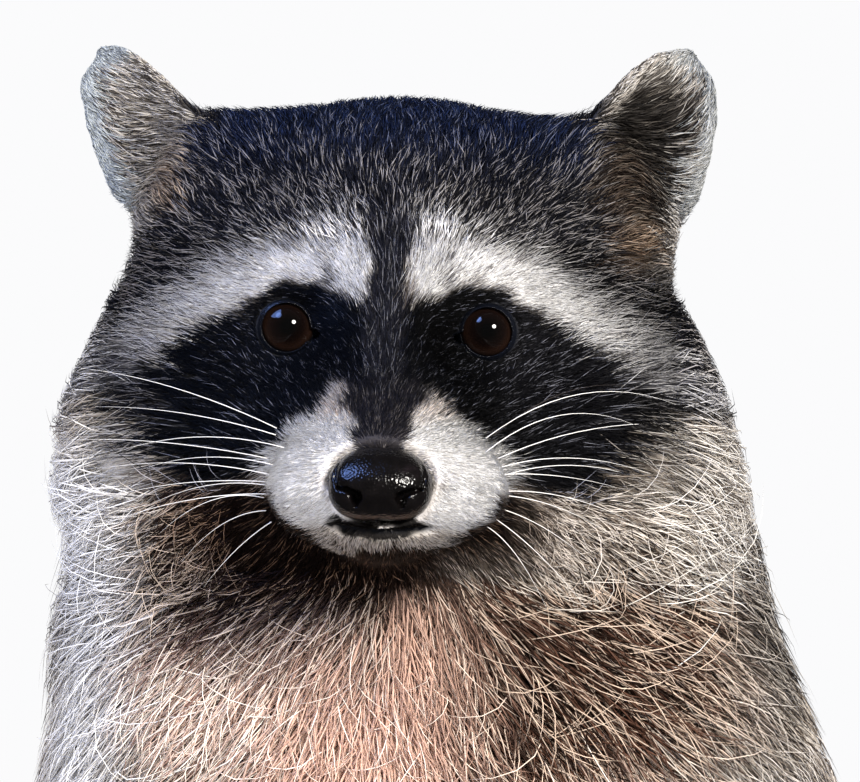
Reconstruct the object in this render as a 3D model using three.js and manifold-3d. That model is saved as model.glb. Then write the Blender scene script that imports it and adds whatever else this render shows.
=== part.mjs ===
// A grown raccoon sitting upright on its haunches, life size, as a still museum model.
// Millimetres, +Z up, the floor at Z = 0. It faces -Y, and its own left side is +X.
// Every solid reaches out to the tips of the coat. Body and head are distance fields that blend
// into each other, drawn as closed nets and parted with thin cuts; ears, toes, claws and tail are
// lofts; the nose and the eyes are shaped spheres.
import * as THREE from "three";
import { mergeVertices } from "three/addons/utils/BufferGeometryUtils.js";
import Module from "manifold-3d";

const wasm = await Module();
wasm.setup();

// ---- Driving dimensions ---------------------------------------------------------------------
const SEAM = 0.4; // gap left between neighbouring pieces
const EYE_SPACING = 46; // between the pupils
const EYE_RADIUS = 7.3;
const EYE_HEIGHT = 357; // pupils above the floor
const EYE_REACH = 62; // pupils in front of the shoulders
const HEAD_SHIFT = -10; // the head is carried a little to the animal's right
const HEAD_TURN = 2; // degrees, towards the animal's right
const HEAD_ROLL = 1.3; // degrees, the left ear a little lower
const NOSE_WIDTH = 24;
const NOSE_HEIGHT = 19;
const NOSE_DEPTH = 17;
const MOUTH_RISE = 12; // degrees, from the lips back to the corners
const JAW_DEPTH = 24;
const EAR_LENGTH = 44; // from the notch to the tip
const EAR_WIDTH = 31; // at the root
const EAR_LEAN = 30; // degrees outwards
const EAR_SKEW = 4.5; // degrees that the right ear leans further than the mean
const FLUFF = 2; // the coat of the head stands out further on the animal's left
const TAIL_RADIUS = 35;
const SIDES = [
  ["left", 1],
  ["right", -1],
];

const COLOURS = {
  grizzle: 0x6f675f,
  mask: 0x24242a,
  chest: 0xa98a78,
  ear: 0x8d8782,
  paw: 0x2b2523,
  claw: 0x3a322c,
  nose: 0x1d191b,
  eye: 0x1b1110,
  tail: 0x7b6f64,
};

const v = (x, y, z) => new THREE.Vector3(x, y, z);
const degrees = THREE.MathUtils.degToRad;
const mix = THREE.MathUtils.lerp;

// ---- Distance fields ------------------------------------------------------------------------
// An egg of the given half-lengths, pitched about X and turned about Z.
function egg(centre, half, pitch = 0, turn = 0) {
  const back = new THREE.Matrix4()
    .makeRotationFromEuler(
      new THREE.Euler(degrees(pitch), 0, degrees(turn), "ZYX"),
    )
    .transpose();
  const q = v(0, 0, 0);
  return (p) => {
    q.subVectors(p, centre).applyMatrix4(back);
    const a = Math.hypot(q.x / half.x, q.y / half.y, q.z / half.z);
    const b = Math.hypot(
      q.x / half.x ** 2,
      q.y / half.y ** 2,
      q.z / half.z ** 2,
    );
    return b < 1e-9 ? -Math.min(half.x, half.y, half.z) : (a * (a - 1)) / b;
  };
}

// A limb from one joint to the next, with a radius at each.
function limb(from, fromRadius, to, toRadius) {
  const along = v(0, 0, 0).subVectors(to, from);
  const long2 = along.lengthSq();
  const q = v(0, 0, 0);
  return (p) => {
    const t = THREE.MathUtils.clamp(
      q.subVectors(p, from).dot(along) / long2,
      0,
      1,
    );
    return q.addScaledVector(along, -t).length() - mix(fromRadius, toRadius, t);
  };
}

// Joins fields with a rounded fillet of about the given size.
function blend(size, ...fields) {
  return (p) =>
    fields.reduce((least, field) => {
      const d = field(p);
      const h = Math.max(size - Math.abs(least - d), 0) / size;
      return Math.min(least, d) - (h * h * size) / 4;
    }, Infinity);
}

// Hollows a field out with another, with the edge rounded.
function dent(size, field, ...hollows) {
  return (p) =>
    hollows.reduce((most, hollow) => {
      const d = -hollow(p);
      const h = Math.max(size - Math.abs(most - d), 0) / size;
      return Math.max(most, d) + (h * h * size) / 4;
    }, field(p));
}

const mirrored = (make) => [make(1), make(-1)];

// ---- Nets: a closed mesh of a field -----------------------------------------------------------
// Where a net's cells begin and end along one axis: near `fineAt` they are `fine` wide, and they
// widen evenly to `coarse` at the farther end.
function spacing(low, high, fineAt, fine, coarse) {
  const reach = Math.max(fineAt - low, high - fineAt);
  const width = (place) => mix(fine, coarse, Math.min(Math.abs(place - fineAt) / reach, 1));
  const lines = [fineAt];
  while (lines.at(-1) < high) lines.push(lines.at(-1) + width(lines.at(-1)));
  while (lines[0] > low) lines.unshift(lines[0] - width(lines[0]));
  return lines;
}

// One vertex for each cell that the surface crosses, set on the surface, and one quad for each
// crossed edge between cells. The rim of the net counts as outside, so the mesh always closes.
function net(field, xs, ys, zs) {
  const n = [xs.length, ys.length, zs.length];
  const at = (i, j, k) => v(xs[i], ys[j], zs[k]);
  const index = (i, j, k) => (k * n[1] + j) * n[0] + i;
  const value = new Float32Array(n[0] * n[1] * n[2]);
  const atRim = (...cell) => cell.some((c, axis) => c === 0 || c === n[axis] - 1);
  for (let k = 0; k < n[2]; k++)
    for (let j = 0; j < n[1]; j++)
      for (let i = 0; i < n[0]; i++)
        value[index(i, j, k)] = atRim(i, j, k) ? 1 : field(at(i, j, k));

  const corners = [];
  for (let c = 0; c < 8; c++) corners.push([c & 1, (c >> 1) & 1, c >> 2]);
  const edges = [];
  corners.forEach((a, i) =>
    corners.slice(i + 1).forEach((b) => {
      if (Math.abs(a[0] - b[0]) + Math.abs(a[1] - b[1]) + Math.abs(a[2] - b[2]) === 1)
        edges.push([a, b]);
    }),
  );
  const vertices = [];
  const vertexOf = new Map();
  for (let k = 0; k < n[2] - 1; k++)
    for (let j = 0; j < n[1] - 1; j++)
      for (let i = 0; i < n[0] - 1; i++) {
        const middle = v(0, 0, 0);
        let crossings = 0;
        for (const [a, b] of edges) {
          const da = value[index(i + a[0], j + a[1], k + a[2])];
          const db = value[index(i + b[0], j + b[1], k + b[2])];
          if (da < 0 === db < 0) continue;
          const start = at(i + a[0], j + a[1], k + a[2]);
          middle.add(
            start.lerp(at(i + b[0], j + b[1], k + b[2]), da / (da - db)),
          );
          crossings++;
        }
        if (!crossings) continue;
        middle.divideScalar(crossings);
        vertexOf.set(index(i, j, k), vertices.length);
        vertices.push(settle(field, middle, xs[i + 1] - xs[i]));
      }

  const triangles = [];
  const around = [
    [0, 1, 2],
    [1, 2, 0],
    [2, 0, 1],
  ];
  for (let k = 0; k < n[2] - 1; k++)
    for (let j = 0; j < n[1] - 1; j++)
      for (let i = 0; i < n[0] - 1; i++) {
        const here = value[index(i, j, k)] < 0;
        for (const [axis, side, up] of around) {
          const next = [i, j, k];
          next[axis]++;
          if (value[index(...next)] < 0 === here) continue;
          const ring = [
            [0, 0],
            [1, 0],
            [1, 1],
            [0, 1],
          ].map(([a, b]) => {
            const cellAt = [i, j, k];
            cellAt[side] -= a;
            cellAt[up] -= b;
            return vertexOf.get(index(...cellAt));
          });
          if (!here) ring.reverse();
          triangles.push(...halves(vertices, ring));
        }
      }
  return meshOf(vertices, triangles);
}

// Moves a point onto the surface of a field, at most half a cell.
function settle(field, point, cell) {
  const step = 0.05 * cell;
  const probe = v(0, 0, 0);
  const start = point.clone();
  for (let round = 0; round < 3; round++) {
    const slope = ["x", "y", "z"].map((axis) => {
      probe.copy(point)[axis] += step;
      const ahead = field(probe);
      probe.copy(point)[axis] -= step;
      return (ahead - field(probe)) / (2 * step);
    });
    const uphill = v(...slope);
    const size = Math.max(uphill.lengthSq(), 0.2);
    point.addScaledVector(uphill, -field(point) / size);
  }
  return point.sub(start).clampLength(0, cell / 2).add(start);
}

// Two triangles across the shorter diagonal of a quad.
function halves(vertices, [a, b, c, d]) {
  const short =
    vertices[a].distanceTo(vertices[c]) <= vertices[b].distanceTo(vertices[d]);
  return short ? [a, b, c, a, c, d] : [a, b, d, b, c, d];
}

function meshOf(vertices, triangles) {
  return new THREE.BufferGeometry()
    .setFromPoints(vertices)
    .setIndex(triangles);
}

// ---- Lofts: rings along a line, closed with a point at each end ------------------------------
// shape(t) gives the ring's centre, its two half-widths and its sideways and upward directions.
function loft(rings, sides, shape) {
  const vertices = [];
  for (let r = 0; r <= rings; r++) {
    const t = (1 - Math.cos((Math.PI * r) / rings)) / 2;
    const { centre, wide, high, across, up } = shape(t);
    const ends = r === 0 || r === rings;
    for (let s = 0; s < (ends ? 1 : sides); s++) {
      const angle = (2 * Math.PI * s) / sides;
      vertices.push(
        centre
          .clone()
          .addScaledVector(across, ends ? 0 : wide * Math.cos(angle))
          .addScaledVector(up, ends ? 0 : high * Math.sin(angle)),
      );
    }
  }
  const triangles = [];
  const last = vertices.length - 1;
  const ringAt = (r, s) => 1 + (r - 1) * sides + (s % sides);
  for (let s = 0; s < sides; s++) {
    triangles.push(0, ringAt(1, s), ringAt(1, s + 1));
    triangles.push(last, ringAt(rings - 1, s + 1), ringAt(rings - 1, s));
    for (let r = 1; r < rings - 1; r++) {
      const quad = [
        ringAt(r, s),
        ringAt(r + 1, s),
        ringAt(r + 1, s + 1),
        ringAt(r, s + 1),
      ];
      triangles.push(...halves(vertices, quad));
    }
  }
  return meshOf(vertices, triangles);
}

// A loft along a smooth line through points, kept upright, with half-widths from profile(t).
function taper(points, rings, sides, profile) {
  const line = new THREE.CatmullRomCurve3(points);
  return loft(rings, sides, (t) => {
    const ahead = line.getTangentAt(t);
    const across = v(ahead.y, -ahead.x, 0).normalize();
    const up = v(0, 0, 0).crossVectors(across, ahead);
    const [wide, high] = profile(t);
    return { centre: line.getPointAt(t), wide, high, across, up };
  });
}

// A radius along a bone that is round at both ends: t from 0 to 1 over the given length.
function rounded(t, length, from, to) {
  const radius = mix(from, to, t);
  const end = Math.min((t * length) / from, ((1 - t) * length) / to, 1);
  return radius * Math.sqrt(Math.max(1 - (1 - end) ** 2, 0));
}

// ---- Solids: cuts and joins ---------------------------------------------------------------
function solid(geometry) {
  const bare = geometry.clone();
  bare.deleteAttribute("normal");
  bare.deleteAttribute("uv");
  const merged = mergeVertices(bare, 1e-4);
  const made = new wasm.Manifold(
    new wasm.Mesh({
      numProp: 3,
      vertProperties: merged.getAttribute("position").array,
      triVerts: new Uint32Array(merged.index.array),
    }),
  );
  if (made.volume() < 0) throw new Error("a shape is inside out");
  return made;
}

// The same shape with its surface moved out by the seam, to cut its neighbour with.
function grown(shape, by = SEAM) {
  const geometry = geometryOf(shape);
  geometry.computeVertexNormals();
  const place = geometry.getAttribute("position");
  const normal = geometry.getAttribute("normal");
  for (let i = 0; i < place.count; i++)
    place.setXYZ(
      i,
      place.getX(i) + by * normal.getX(i),
      place.getY(i) + by * normal.getY(i),
      place.getZ(i) + by * normal.getZ(i),
    );
  return solid(geometry);
}

// The half of space that a direction points into, from a point on.
function halfSpace(point, direction, size = 1200) {
  const geometry = new THREE.BoxGeometry(size, size, size);
  geometry.translate(0, 0, size / 2);
  geometry.applyQuaternion(
    new THREE.Quaternion().setFromUnitVectors(
      v(0, 0, 1),
      direction.clone().normalize(),
    ),
  );
  geometry.translate(point.x, point.y, point.z);
  return solid(geometry);
}

function geometryOf(shape) {
  const mesh = shape.getMesh();
  const places = new Float32Array(mesh.numVert * 3);
  for (let i = 0; i < mesh.numVert; i++)
    places.set(
      mesh.vertProperties.subarray(i * mesh.numProp, i * mesh.numProp + 3),
      i * 3,
    );
  return new THREE.BufferGeometry()
    .setAttribute("position", new THREE.BufferAttribute(places, 3))
    .setIndex(new THREE.BufferAttribute(mesh.triVerts, 1));
}

// The largest body of a shape, so that no crumb from a cut is kept.
function whole(shape) {
  return shape.decompose().sort((a, b) => b.volume() - a.volume())[0];
}

// ---- Head, in its own frame: the origin is midway between the pupils --------------------------
const headPlace = new THREE.Matrix4().compose(
  v(HEAD_SHIFT, -EYE_REACH, EYE_HEIGHT),
  new THREE.Quaternion().setFromEuler(
    new THREE.Euler(0, degrees(HEAD_ROLL), degrees(-HEAD_TURN), "ZYX"),
  ),
  v(1, 1, 1),
);
const headBack = headPlace.clone().invert();
const eyeAt = (side) => v((side * EYE_SPACING) / 2, 0, 0);

function headField() {
  const crown = egg(v(FLUFF / 2, 45, 7), v(61, 48, 47.5));
  const earRoots = mirrored((side) =>
    egg(v(side * 41 + FLUFF, 39, 24), v(21, 20, 24), 0, side * 12),
  );
  const temples = mirrored((side) =>
    egg(v(side * 41 + FLUFF, 33, -4), v(27, 32, 30)),
  );
  const cheeks = mirrored((side) =>
    egg(v(side * 43 + FLUFF, 28, -30), v(37, 32, 31), 0, side * -14),
  );
  const jowls = egg(v(0, 22, -28), v(54, 34, 29));
  const muzzle = limb(v(0, -8, -25), 27, v(0, -47, -36.5), 12.5);
  const pads = mirrored((side) => egg(v(side * 12, -35, -37), v(14, 18, 12)));
  const chin = limb(v(0, -40, -45.5), 6.5, v(0, 0, -40), 17);
  const bridge = limb(v(0, -6, 4), 12, v(0, 14, 26), 20);
  const brows = mirrored((side) => egg(v(side * 21, 6, 13), v(18, 12, 12)));
  const sockets = mirrored((side) =>
    egg(v(side * 22.8, -18.5, -0.3), v(13, 15.5, 10.5)),
  );
  return dent(
    8,
    blend(
      16,
      crown,
      ...earRoots,
      ...temples,
      ...cheeks,
      jowls,
      bridge,
      blend(8, muzzle, ...pads, chin),
      ...brows,
    ),
    ...sockets,
  );
}

// ---- Body -------------------------------------------------------------------------------
const thighField = (side) =>
  blend(
    24,
    egg(v(side * 82, 106, 86), v(43, 78, 62), -8, side * 7),
    limb(v(side * 92, 150, 28), 26, v(side * 96, 62, 66), 36),
  );

const forelegField = (side) =>
  blend(
    14,
    limb(v(side * 56, -12, 214), 38, v(side * 61, 3, 146), 31),
    limb(v(side * 61, 3, 146), 30, v(side * 50, -38, 36), 17),
    limb(v(side * 50, -38, 36), 17, v(side * 48, -50, 19), 13),
  );

function bodyField() {
  const nape = limb(v(HEAD_SHIFT, -8, 346), 45, v(0, 20, 286), 60);
  const ruff = egg(v(0, -8, 292), v(82, 57, 46));
  const chest = egg(v(1, 0, 236), v(96, 74, 78));
  const back = limb(v(0, 26, 266), 54, v(0, 104, 180), 82);
  const belly = egg(v(0, 96, 138), v(103, 90, 104), 30);
  const rump = egg(v(0, 146, 74), v(97, 68, 80));
  return blend(
    30,
    nape,
    ruff,
    chest,
    back,
    belly,
    rump,
    ...SIDES.map(([, side]) => thighField(side)),
    ...SIDES.map(([, side]) => forelegField(side)),
  );
}

const ABOVE_FLOOR = halfSpace(v(0, 0, 0), v(0, 0, 1));
const head = headField();
const body = bodyField();
const headSpot = v(0, 0, 0);
const animal = blend(22, body, (p) => head(headSpot.copy(p).applyMatrix4(headBack)));

// The cuts behind the skull, under the cheeks and across the shoulders: all of the animal on the
// side that `towards` points to, from `point` on.
const NAPE = { point: v(0, -2, 322), towards: v(0, -0.78, 0.62) };
const THROAT = { point: v(0, -62, 295), towards: v(0, 0.12, 1) };
const WITHERS = { point: v(0, 0, 266), towards: v(0, -0.3, 0.95) };

const beyond = (plane) => halfSpace(plane.point, plane.towards);
const headCutter = () => beyond(NAPE).intersect(beyond(THROAT));

const headSolid = () =>
  solid(
    net(
      animal,
      spacing(-106, 92, HEAD_SHIFT, 6.4, 15),
      spacing(-148, 60, -EYE_REACH - 45, 6.2, 22),
      spacing(270, 426, EYE_HEIGHT - 18, 6.4, 16),
    ),
  ).intersect(headCutter());

const trunkSolid = () =>
  solid(
    net(
      animal,
      spacing(-170, 170, 0, 26, 30),
      spacing(-160, 270, -60, 24, 34),
      spacing(-60, 450, 280, 23, 32),
    ),
  );

// ---- Ears: cupped leaves, closed round the rim ------------------------------------------------
// u runs across the ear from -1 to 1, and t from its root to its tip.
function earSolid(side) {
  const rows = 8;
  const columns = 6;
  const lean = degrees(EAR_LEAN - side * EAR_SKEW);
  const root = v(side * 47 + FLUFF, 38, 29);
  const axis = v(side * Math.sin(lean), 0.12, Math.cos(lean)).normalize();
  const across = v(side * Math.cos(lean), 0.3, -Math.sin(lean)).normalize();
  const out = v(0, 0, 0).crossVectors(axis, across).normalize();
  if (out.y > 0) out.negate();
  const point = (t, u, face) => {
    const half = (EAR_WIDTH / 2) * Math.sqrt(1 - t ** 1.7);
    const cup = 9 * (1 - u * u) * (1 - 0.55 * t);
    const thick = mix(7, 4.2, t) * (1 - 0.45 * u * u);
    return root
      .clone()
      .addScaledVector(axis, EAR_LENGTH * t)
      .addScaledVector(across, half * u)
      .addScaledVector(out, (face * thick) / 2 - cup + 4 * t);
  };
  const vertices = [];
  const spot = (face, r, c) => {
    const edge = c === 0 || c === columns || r === rows;
    const u = r === rows ? 0 : (2 * c) / columns - 1;
    vertices.push(point(r / rows, u, edge && r === rows ? 0 : face));
    return vertices.length - 1;
  };
  const grid = [1, -1].map((face) =>
    Array.from({ length: rows }, (_, r) =>
      Array.from({ length: columns + 1 }, (_, c) => spot(face, r, c)),
    ),
  );
  const tip = spot(1, rows, 0);
  const triangles = [];
  const quad = (a, b, c, d) => triangles.push(...halves(vertices, [a, b, c, d]));
  for (let c = 0; c < columns; c++) {
    for (let r = 0; r < rows - 1; r++) {
      quad(grid[0][r][c], grid[0][r][c + 1], grid[0][r + 1][c + 1], grid[0][r + 1][c]);
      quad(grid[1][r][c + 1], grid[1][r][c], grid[1][r + 1][c], grid[1][r + 1][c + 1]);
    }
    triangles.push(grid[0][rows - 1][c], grid[0][rows - 1][c + 1], tip);
    triangles.push(grid[1][rows - 1][c + 1], grid[1][rows - 1][c], tip);
    quad(grid[1][0][c], grid[1][0][c + 1], grid[0][0][c + 1], grid[0][0][c]);
  }
  for (let r = 0; r < rows - 1; r++) {
    quad(grid[1][r][0], grid[0][r][0], grid[0][r + 1][0], grid[1][r + 1][0]);
    quad(grid[0][r][columns], grid[1][r][columns], grid[1][r + 1][columns], grid[0][r + 1][columns]);
  }
  triangles.push(grid[1][rows - 1][0], grid[0][rows - 1][0], tip);
  triangles.push(grid[0][rows - 1][columns], grid[1][rows - 1][columns], tip);
  if (side < 0) triangles.reverse();
  return solid(meshOf(vertices, triangles).applyMatrix4(headPlace));
}

// ---- Eyes, nose and jaw ---------------------------------------------------------------------
function eyeSolid(side, radius = EYE_RADIUS) {
  const geometry = new THREE.SphereGeometry(radius, 12, 8);
  geometry.rotateX(Math.PI / 2);
  geometry.translate(...eyeAt(side).toArray());
  return solid(geometry.applyMatrix4(headPlace));
}

// The bare nose: wide above, drawn in below, with a comma-shaped nostril on each side.
const NOSE_AT = v(0, -54, -34);

function noseSolid() {
  const geometry = new THREE.SphereGeometry(1, 12, 10);
  const place = geometry.getAttribute("position");
  for (let i = 0; i < place.count; i++) {
    const [x, y, z] = [place.getX(i), place.getY(i), place.getZ(i)];
    const power = 2.6;
    const size = (Math.abs(x) ** power + Math.abs(y) ** power + Math.abs(z) ** power) ** (-1 / power);
    const narrow = mix(0.8, 1, THREE.MathUtils.smoothstep(z, -0.9, 0.1));
    place.setXYZ(
      i,
      (x * size * narrow * NOSE_WIDTH) / 2,
      (y * size * NOSE_DEPTH) / 2 - 1.2 * z,
      (z * size * NOSE_HEIGHT) / 2,
    );
  }
  geometry.translate(...NOSE_AT.toArray());
  const nostrils = mirrored((side) => {
    const hollow = new THREE.SphereGeometry(1, 7, 5);
    hollow.scale(3.1, 5, 2);
    hollow.rotateY(side * degrees(28));
    hollow.rotateZ(side * degrees(28));
    hollow.translate(NOSE_AT.x + side * 7, NOSE_AT.y - 6.6, NOSE_AT.z - 2.2);
    return solid(hollow);
  });
  return nostrils
    .reduce((nose, hollow) => nose.subtract(hollow), solid(geometry))
    .transform(headPlace.toArray());
}

// Everything of the muzzle below the line of the mouth, which rises towards its corners.
function jawCutter() {
  const geometry = new THREE.BoxGeometry(90, 80, JAW_DEPTH);
  geometry.translate(0, -40, -JAW_DEPTH / 2);
  geometry.rotateX(degrees(MOUTH_RISE));
  geometry.translate(0, -12, -36.5);
  return solid(geometry.applyMatrix4(headPlace));
}

// ---- Feet and claws -------------------------------------------------------------------------
// A foot is a pad, five toes fanned out from it and one claw on each toe. Sizes are for one foot.
const FOREFOOT = {
  heel: v(48, -42, 11.6),
  toeRoot: v(49, -72, 7.3),
  padWidth: [12.5, 15.5],
  padHeight: [13, 8.5],
  toeLength: [19, 25, 28, 26, 21],
  toeRadius: 4.6,
  fan: 17,
  outward: 4,
};
const HINDFOOT = {
  heel: v(93, 114, 14.6),
  toeRoot: v(103, 30, 7.7),
  padWidth: [14, 17],
  padHeight: [16, 9],
  toeLength: [17, 22, 25, 23, 19],
  toeRadius: 5,
  fan: 13,
  outward: 7,
};
const CLAW_LENGTH = 13;
const CLAW_RADIUS = 2;
const CLAW_ROOT = 3; // of its length inside the toe
const CLAW_CLEARANCE = 0.8; // between a claw's tip and the floor

const onSide = (side, p) => v(side * p.x, p.y, p.z);

function toePlan(foot, side, i) {
  const angle = degrees(foot.outward + foot.fan * (i - 2)) * side;
  const ahead = v(Math.sin(angle), -Math.cos(angle), 0);
  const spread = (i - 2) * foot.padWidth[1] * 0.46 * side;
  const bow = -1.6 * (i - 2) ** 2;
  const root = onSide(side, foot.toeRoot)
    .add(v(spread, -bow, 0))
    .setZ(foot.toeRadius - 0.6);
  const knuckle = root
    .clone()
    .addScaledVector(ahead, foot.toeLength[i] * 0.55)
    .setZ(foot.toeRadius + 2);
  const tip = root
    .clone()
    .addScaledVector(ahead, foot.toeLength[i])
    .setZ(foot.toeRadius * 0.86 - 0.8);
  return { root, knuckle, tip, ahead };
}

function toeSolid(foot, side, i) {
  const { root, knuckle, tip, ahead } = toePlan(foot, side, i);
  const start = root.clone().addScaledVector(ahead, -9);
  const length = foot.toeLength[i] + 9;
  return solid(
    taper([start, root, knuckle, tip], 4, 6, (t) => {
      const r = rounded(t, length, foot.toeRadius, foot.toeRadius * 0.86);
      return [r, r];
    }),
  );
}

function footSolid(foot, side) {
  const heel = onSide(side, foot.heel);
  const front = onSide(side, foot.toeRoot).add(v(0, -6, 0));
  const length = heel.distanceTo(front);
  const pad = taper([heel, heel.clone().lerp(front, 0.5), front], 5, 8, (t) => {
    const end = rounded(t, length, foot.padWidth[0], foot.padWidth[1]);
    const high = mix(foot.padHeight[0], foot.padHeight[1], t);
    return [end, (end * high) / mix(foot.padWidth[0], foot.padWidth[1], t)];
  });
  const toes = [0, 1, 2, 3, 4].map((i) => toeSolid(foot, side, i));
  return toes
    .reduce((made, toe) => made.add(toe), solid(pad))
    .intersect(ABOVE_FLOOR);
}

// A claw leaves the toe forwards, hooks down and stops just short of the floor.
function clawSolid(foot, side, i) {
  const { tip, ahead } = toePlan(foot, side, i);
  const start = tip
    .clone()
    .addScaledVector(ahead, -CLAW_ROOT)
    .setZ(foot.toeRadius);
  const middle = start
    .clone()
    .addScaledVector(ahead, CLAW_LENGTH * 0.55)
    .setZ(foot.toeRadius + 0.6);
  const point = start
    .clone()
    .addScaledVector(ahead, CLAW_LENGTH)
    .setZ(CLAW_CLEARANCE);
  return solid(
    taper([start, middle, point], 3, 5, (t) => {
      const r = CLAW_RADIUS * Math.sqrt(Math.max(1 - t, 0)) * Math.min(1, 0.6 + 3 * t);
      return [r * 0.75, r];
    }),
  );
}

// ---- Tail: a bushy brush laid on the floor behind, swept to the animal's left -----------------
function tailSolid() {
  const line = [
    v(0, 168, 44),
    v(4, 220, 36),
    v(22, 276, 33),
    v(62, 326, 32),
    v(112, 352, 31),
    v(158, 352, 27),
  ];
  const length = new THREE.CatmullRomCurve3(line).getLength();
  const brush = taper(line, 16, 12, (t) => {
    const bushy = TAIL_RADIUS * (0.8 + 0.28 * Math.sin(Math.PI * Math.min(1, t * 1.15)));
    const end = rounded(t, length, 24, 44) / mix(24, 44, t);
    return [bushy * end, bushy * end * 0.94];
  });
  return solid(brush).intersect(ABOVE_FLOOR);
}

// ---- Legs: regions of the body, parted from the trunk -------------------------------------------
const hindlegRegion = (side) => egg(v(side * 120, 96, 72), v(74, 108, 95), -6, side * 4);

const forelegRegion = (side) =>
  blend(
    24,
    egg(v(side * 100, -14, 202), v(54, 50, 60)),
    limb(v(side * 64, -4, 158), 37, v(side * 50, -46, 16), 27),
  );

// The net lines that hold one leg, `cell` apart.
const legNet = (field, side, reach, cell) =>
  solid(
    net(
      field,
      spacing(side * reach.x - 100, side * reach.x + 100, side * reach.x, cell, cell * 1.3),
      spacing(reach.y - 130, reach.y + 130, reach.y, cell, cell * 1.3),
      spacing(-40, reach.z, 10, cell, cell * 1.3),
    ),
  );

const LEGS = {
  hindleg: { region: hindlegRegion, reach: v(110, 100, 190), cell: 22 },
  foreleg: { region: forelegRegion, reach: v(72, -16, 290), cell: 15 },
};

// ---- Assembly -----------------------------------------------------------------------------
const raccoon = new THREE.Group();

function addPiece(name, shape, colour, roughness = 0.9) {
  const geometry = geometryOf(whole(shape));
  geometry.computeVertexNormals();
  const material = new THREE.MeshStandardMaterial({
    color: colour,
    roughness,
    metalness: 0,
  });
  const mesh = new THREE.Mesh(geometry, material);
  mesh.name = name;
  raccoon.add(mesh);
}

function buildHead() {
  const full = headSolid();
  const nose = noseSolid();
  let skull = full.subtract(grown(nose.hull()));
  for (const [name, side] of SIDES) {
    addPiece(`ear_${name}`, earSolid(side).subtract(grown(full)), COLOURS.ear);
    addPiece(`eye_${name}`, eyeSolid(side), COLOURS.eye, 0.08);
    skull = skull.subtract(eyeSolid(side, EYE_RADIUS + SEAM));
  }
  addPiece("nose", nose, COLOURS.nose, 0.3);
  addPiece("lower_jaw", skull.intersect(jawCutter()), COLOURS.grizzle);
  addPiece("head", skull.subtract(grown(jawCutter())), COLOURS.mask);
}

function buildFeet() {
  const feet = [];
  for (const [name, side] of SIDES)
    for (const [kind, plan] of [
      ["forefoot", FOREFOOT],
      ["hindfoot", HINDFOOT],
    ]) {
      let foot = footSolid(plan, side);
      for (let i = 0; i < 5; i++) {
        const claw = clawSolid(plan, side, i);
        foot = foot.subtract(grown(claw));
        addPiece(`claw_${kind}_${name}_${i + 1}`, claw, COLOURS.claw, 0.4);
      }
      addPiece(`${kind}_${name}`, foot, COLOURS.paw);
      feet.push(grown(footSolid(plan, side)));
    }
  return feet;
}

function buildBody(feet) {
  const tail = tailSolid();
  addPiece("tail", tail, COLOURS.tail);
  const clear = (shape) =>
    [grown(tail), grown(headCutter()), ...feet].reduce(
      (left, other) => left.subtract(other),
      shape.intersect(ABOVE_FLOOR),
    );
  const full = clear(trunkSolid());
  addPiece("neck", full.intersect(beyond(WITHERS)), COLOURS.chest);
  const neckSpace = grown(beyond(WITHERS));
  let trunk = full.subtract(neckSpace);
  for (const [name, side] of SIDES)
    for (const [kind, { region, reach, cell }] of Object.entries(LEGS)) {
      const cutter = legNet(region(side), side, reach, cell * 2);
      const leg = legNet(animal, side, reach, cell).intersect(cutter);
      addPiece(`${kind}_${name}`, clear(leg).subtract(neckSpace), COLOURS.grizzle);
      trunk = trunk.subtract(grown(cutter));
    }
  addPiece("trunk", trunk, COLOURS.grizzle);
}

buildHead();
buildBody(buildFeet());

// The origin is on the floor, under the middle of the whole figure.
const extent = new THREE.Box3().setFromObject(raccoon);
const middle = extent.getCenter(v(0, 0, 0));
raccoon.position.set(-middle.x, -middle.y, 0);

const model = new THREE.Group();
model.add(raccoon);

export default model;
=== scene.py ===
"""A raccoon sitting up, life size: skin under a coat of tufts, eyes, nose, claws and whiskers."""
import logging
import math
from dataclasses import dataclass
from enum import Enum
from typing import Iterable

import bmesh
import bpy
import numpy as np
from mathutils import Matrix, Vector
from mathutils.bvhtree import BVHTree
from mathutils.kdtree import KDTree


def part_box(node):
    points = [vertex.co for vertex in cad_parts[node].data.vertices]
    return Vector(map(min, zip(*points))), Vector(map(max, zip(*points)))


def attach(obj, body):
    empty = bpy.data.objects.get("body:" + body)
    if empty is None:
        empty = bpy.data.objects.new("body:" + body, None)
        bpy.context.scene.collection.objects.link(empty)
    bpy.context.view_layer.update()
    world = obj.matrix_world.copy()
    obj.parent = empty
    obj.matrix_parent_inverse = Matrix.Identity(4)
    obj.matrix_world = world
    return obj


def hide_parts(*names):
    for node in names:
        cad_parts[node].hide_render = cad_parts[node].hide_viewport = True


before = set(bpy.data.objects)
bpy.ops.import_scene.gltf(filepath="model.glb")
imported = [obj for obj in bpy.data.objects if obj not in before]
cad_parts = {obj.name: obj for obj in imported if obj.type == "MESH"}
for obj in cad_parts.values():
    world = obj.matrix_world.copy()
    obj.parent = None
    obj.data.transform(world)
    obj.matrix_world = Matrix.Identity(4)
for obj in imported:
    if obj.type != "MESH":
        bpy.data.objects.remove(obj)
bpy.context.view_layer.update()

BODY = "root"
COAT = "coat"
MM = 0.001
LOG = logging.getLogger("raccoon")
Array = np.ndarray
Colour = tuple[float, float, float, float]
Stops = Iterable[tuple[float, str]]
Settings = dict[str, object]
NOISE, RANGE, VECTOR = "ShaderNodeTexNoise", "ShaderNodeMapRange", "ShaderNodeVectorMath"
BUMP, STOPS, PLACE = "ShaderNodeBump", "ShaderNodeValToRGB", "ShaderNodeTexCoord"
ATTRIBUTE, SHADER = "ShaderNodeAttribute", "ShaderNodeBsdfPrincipled"
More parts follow.
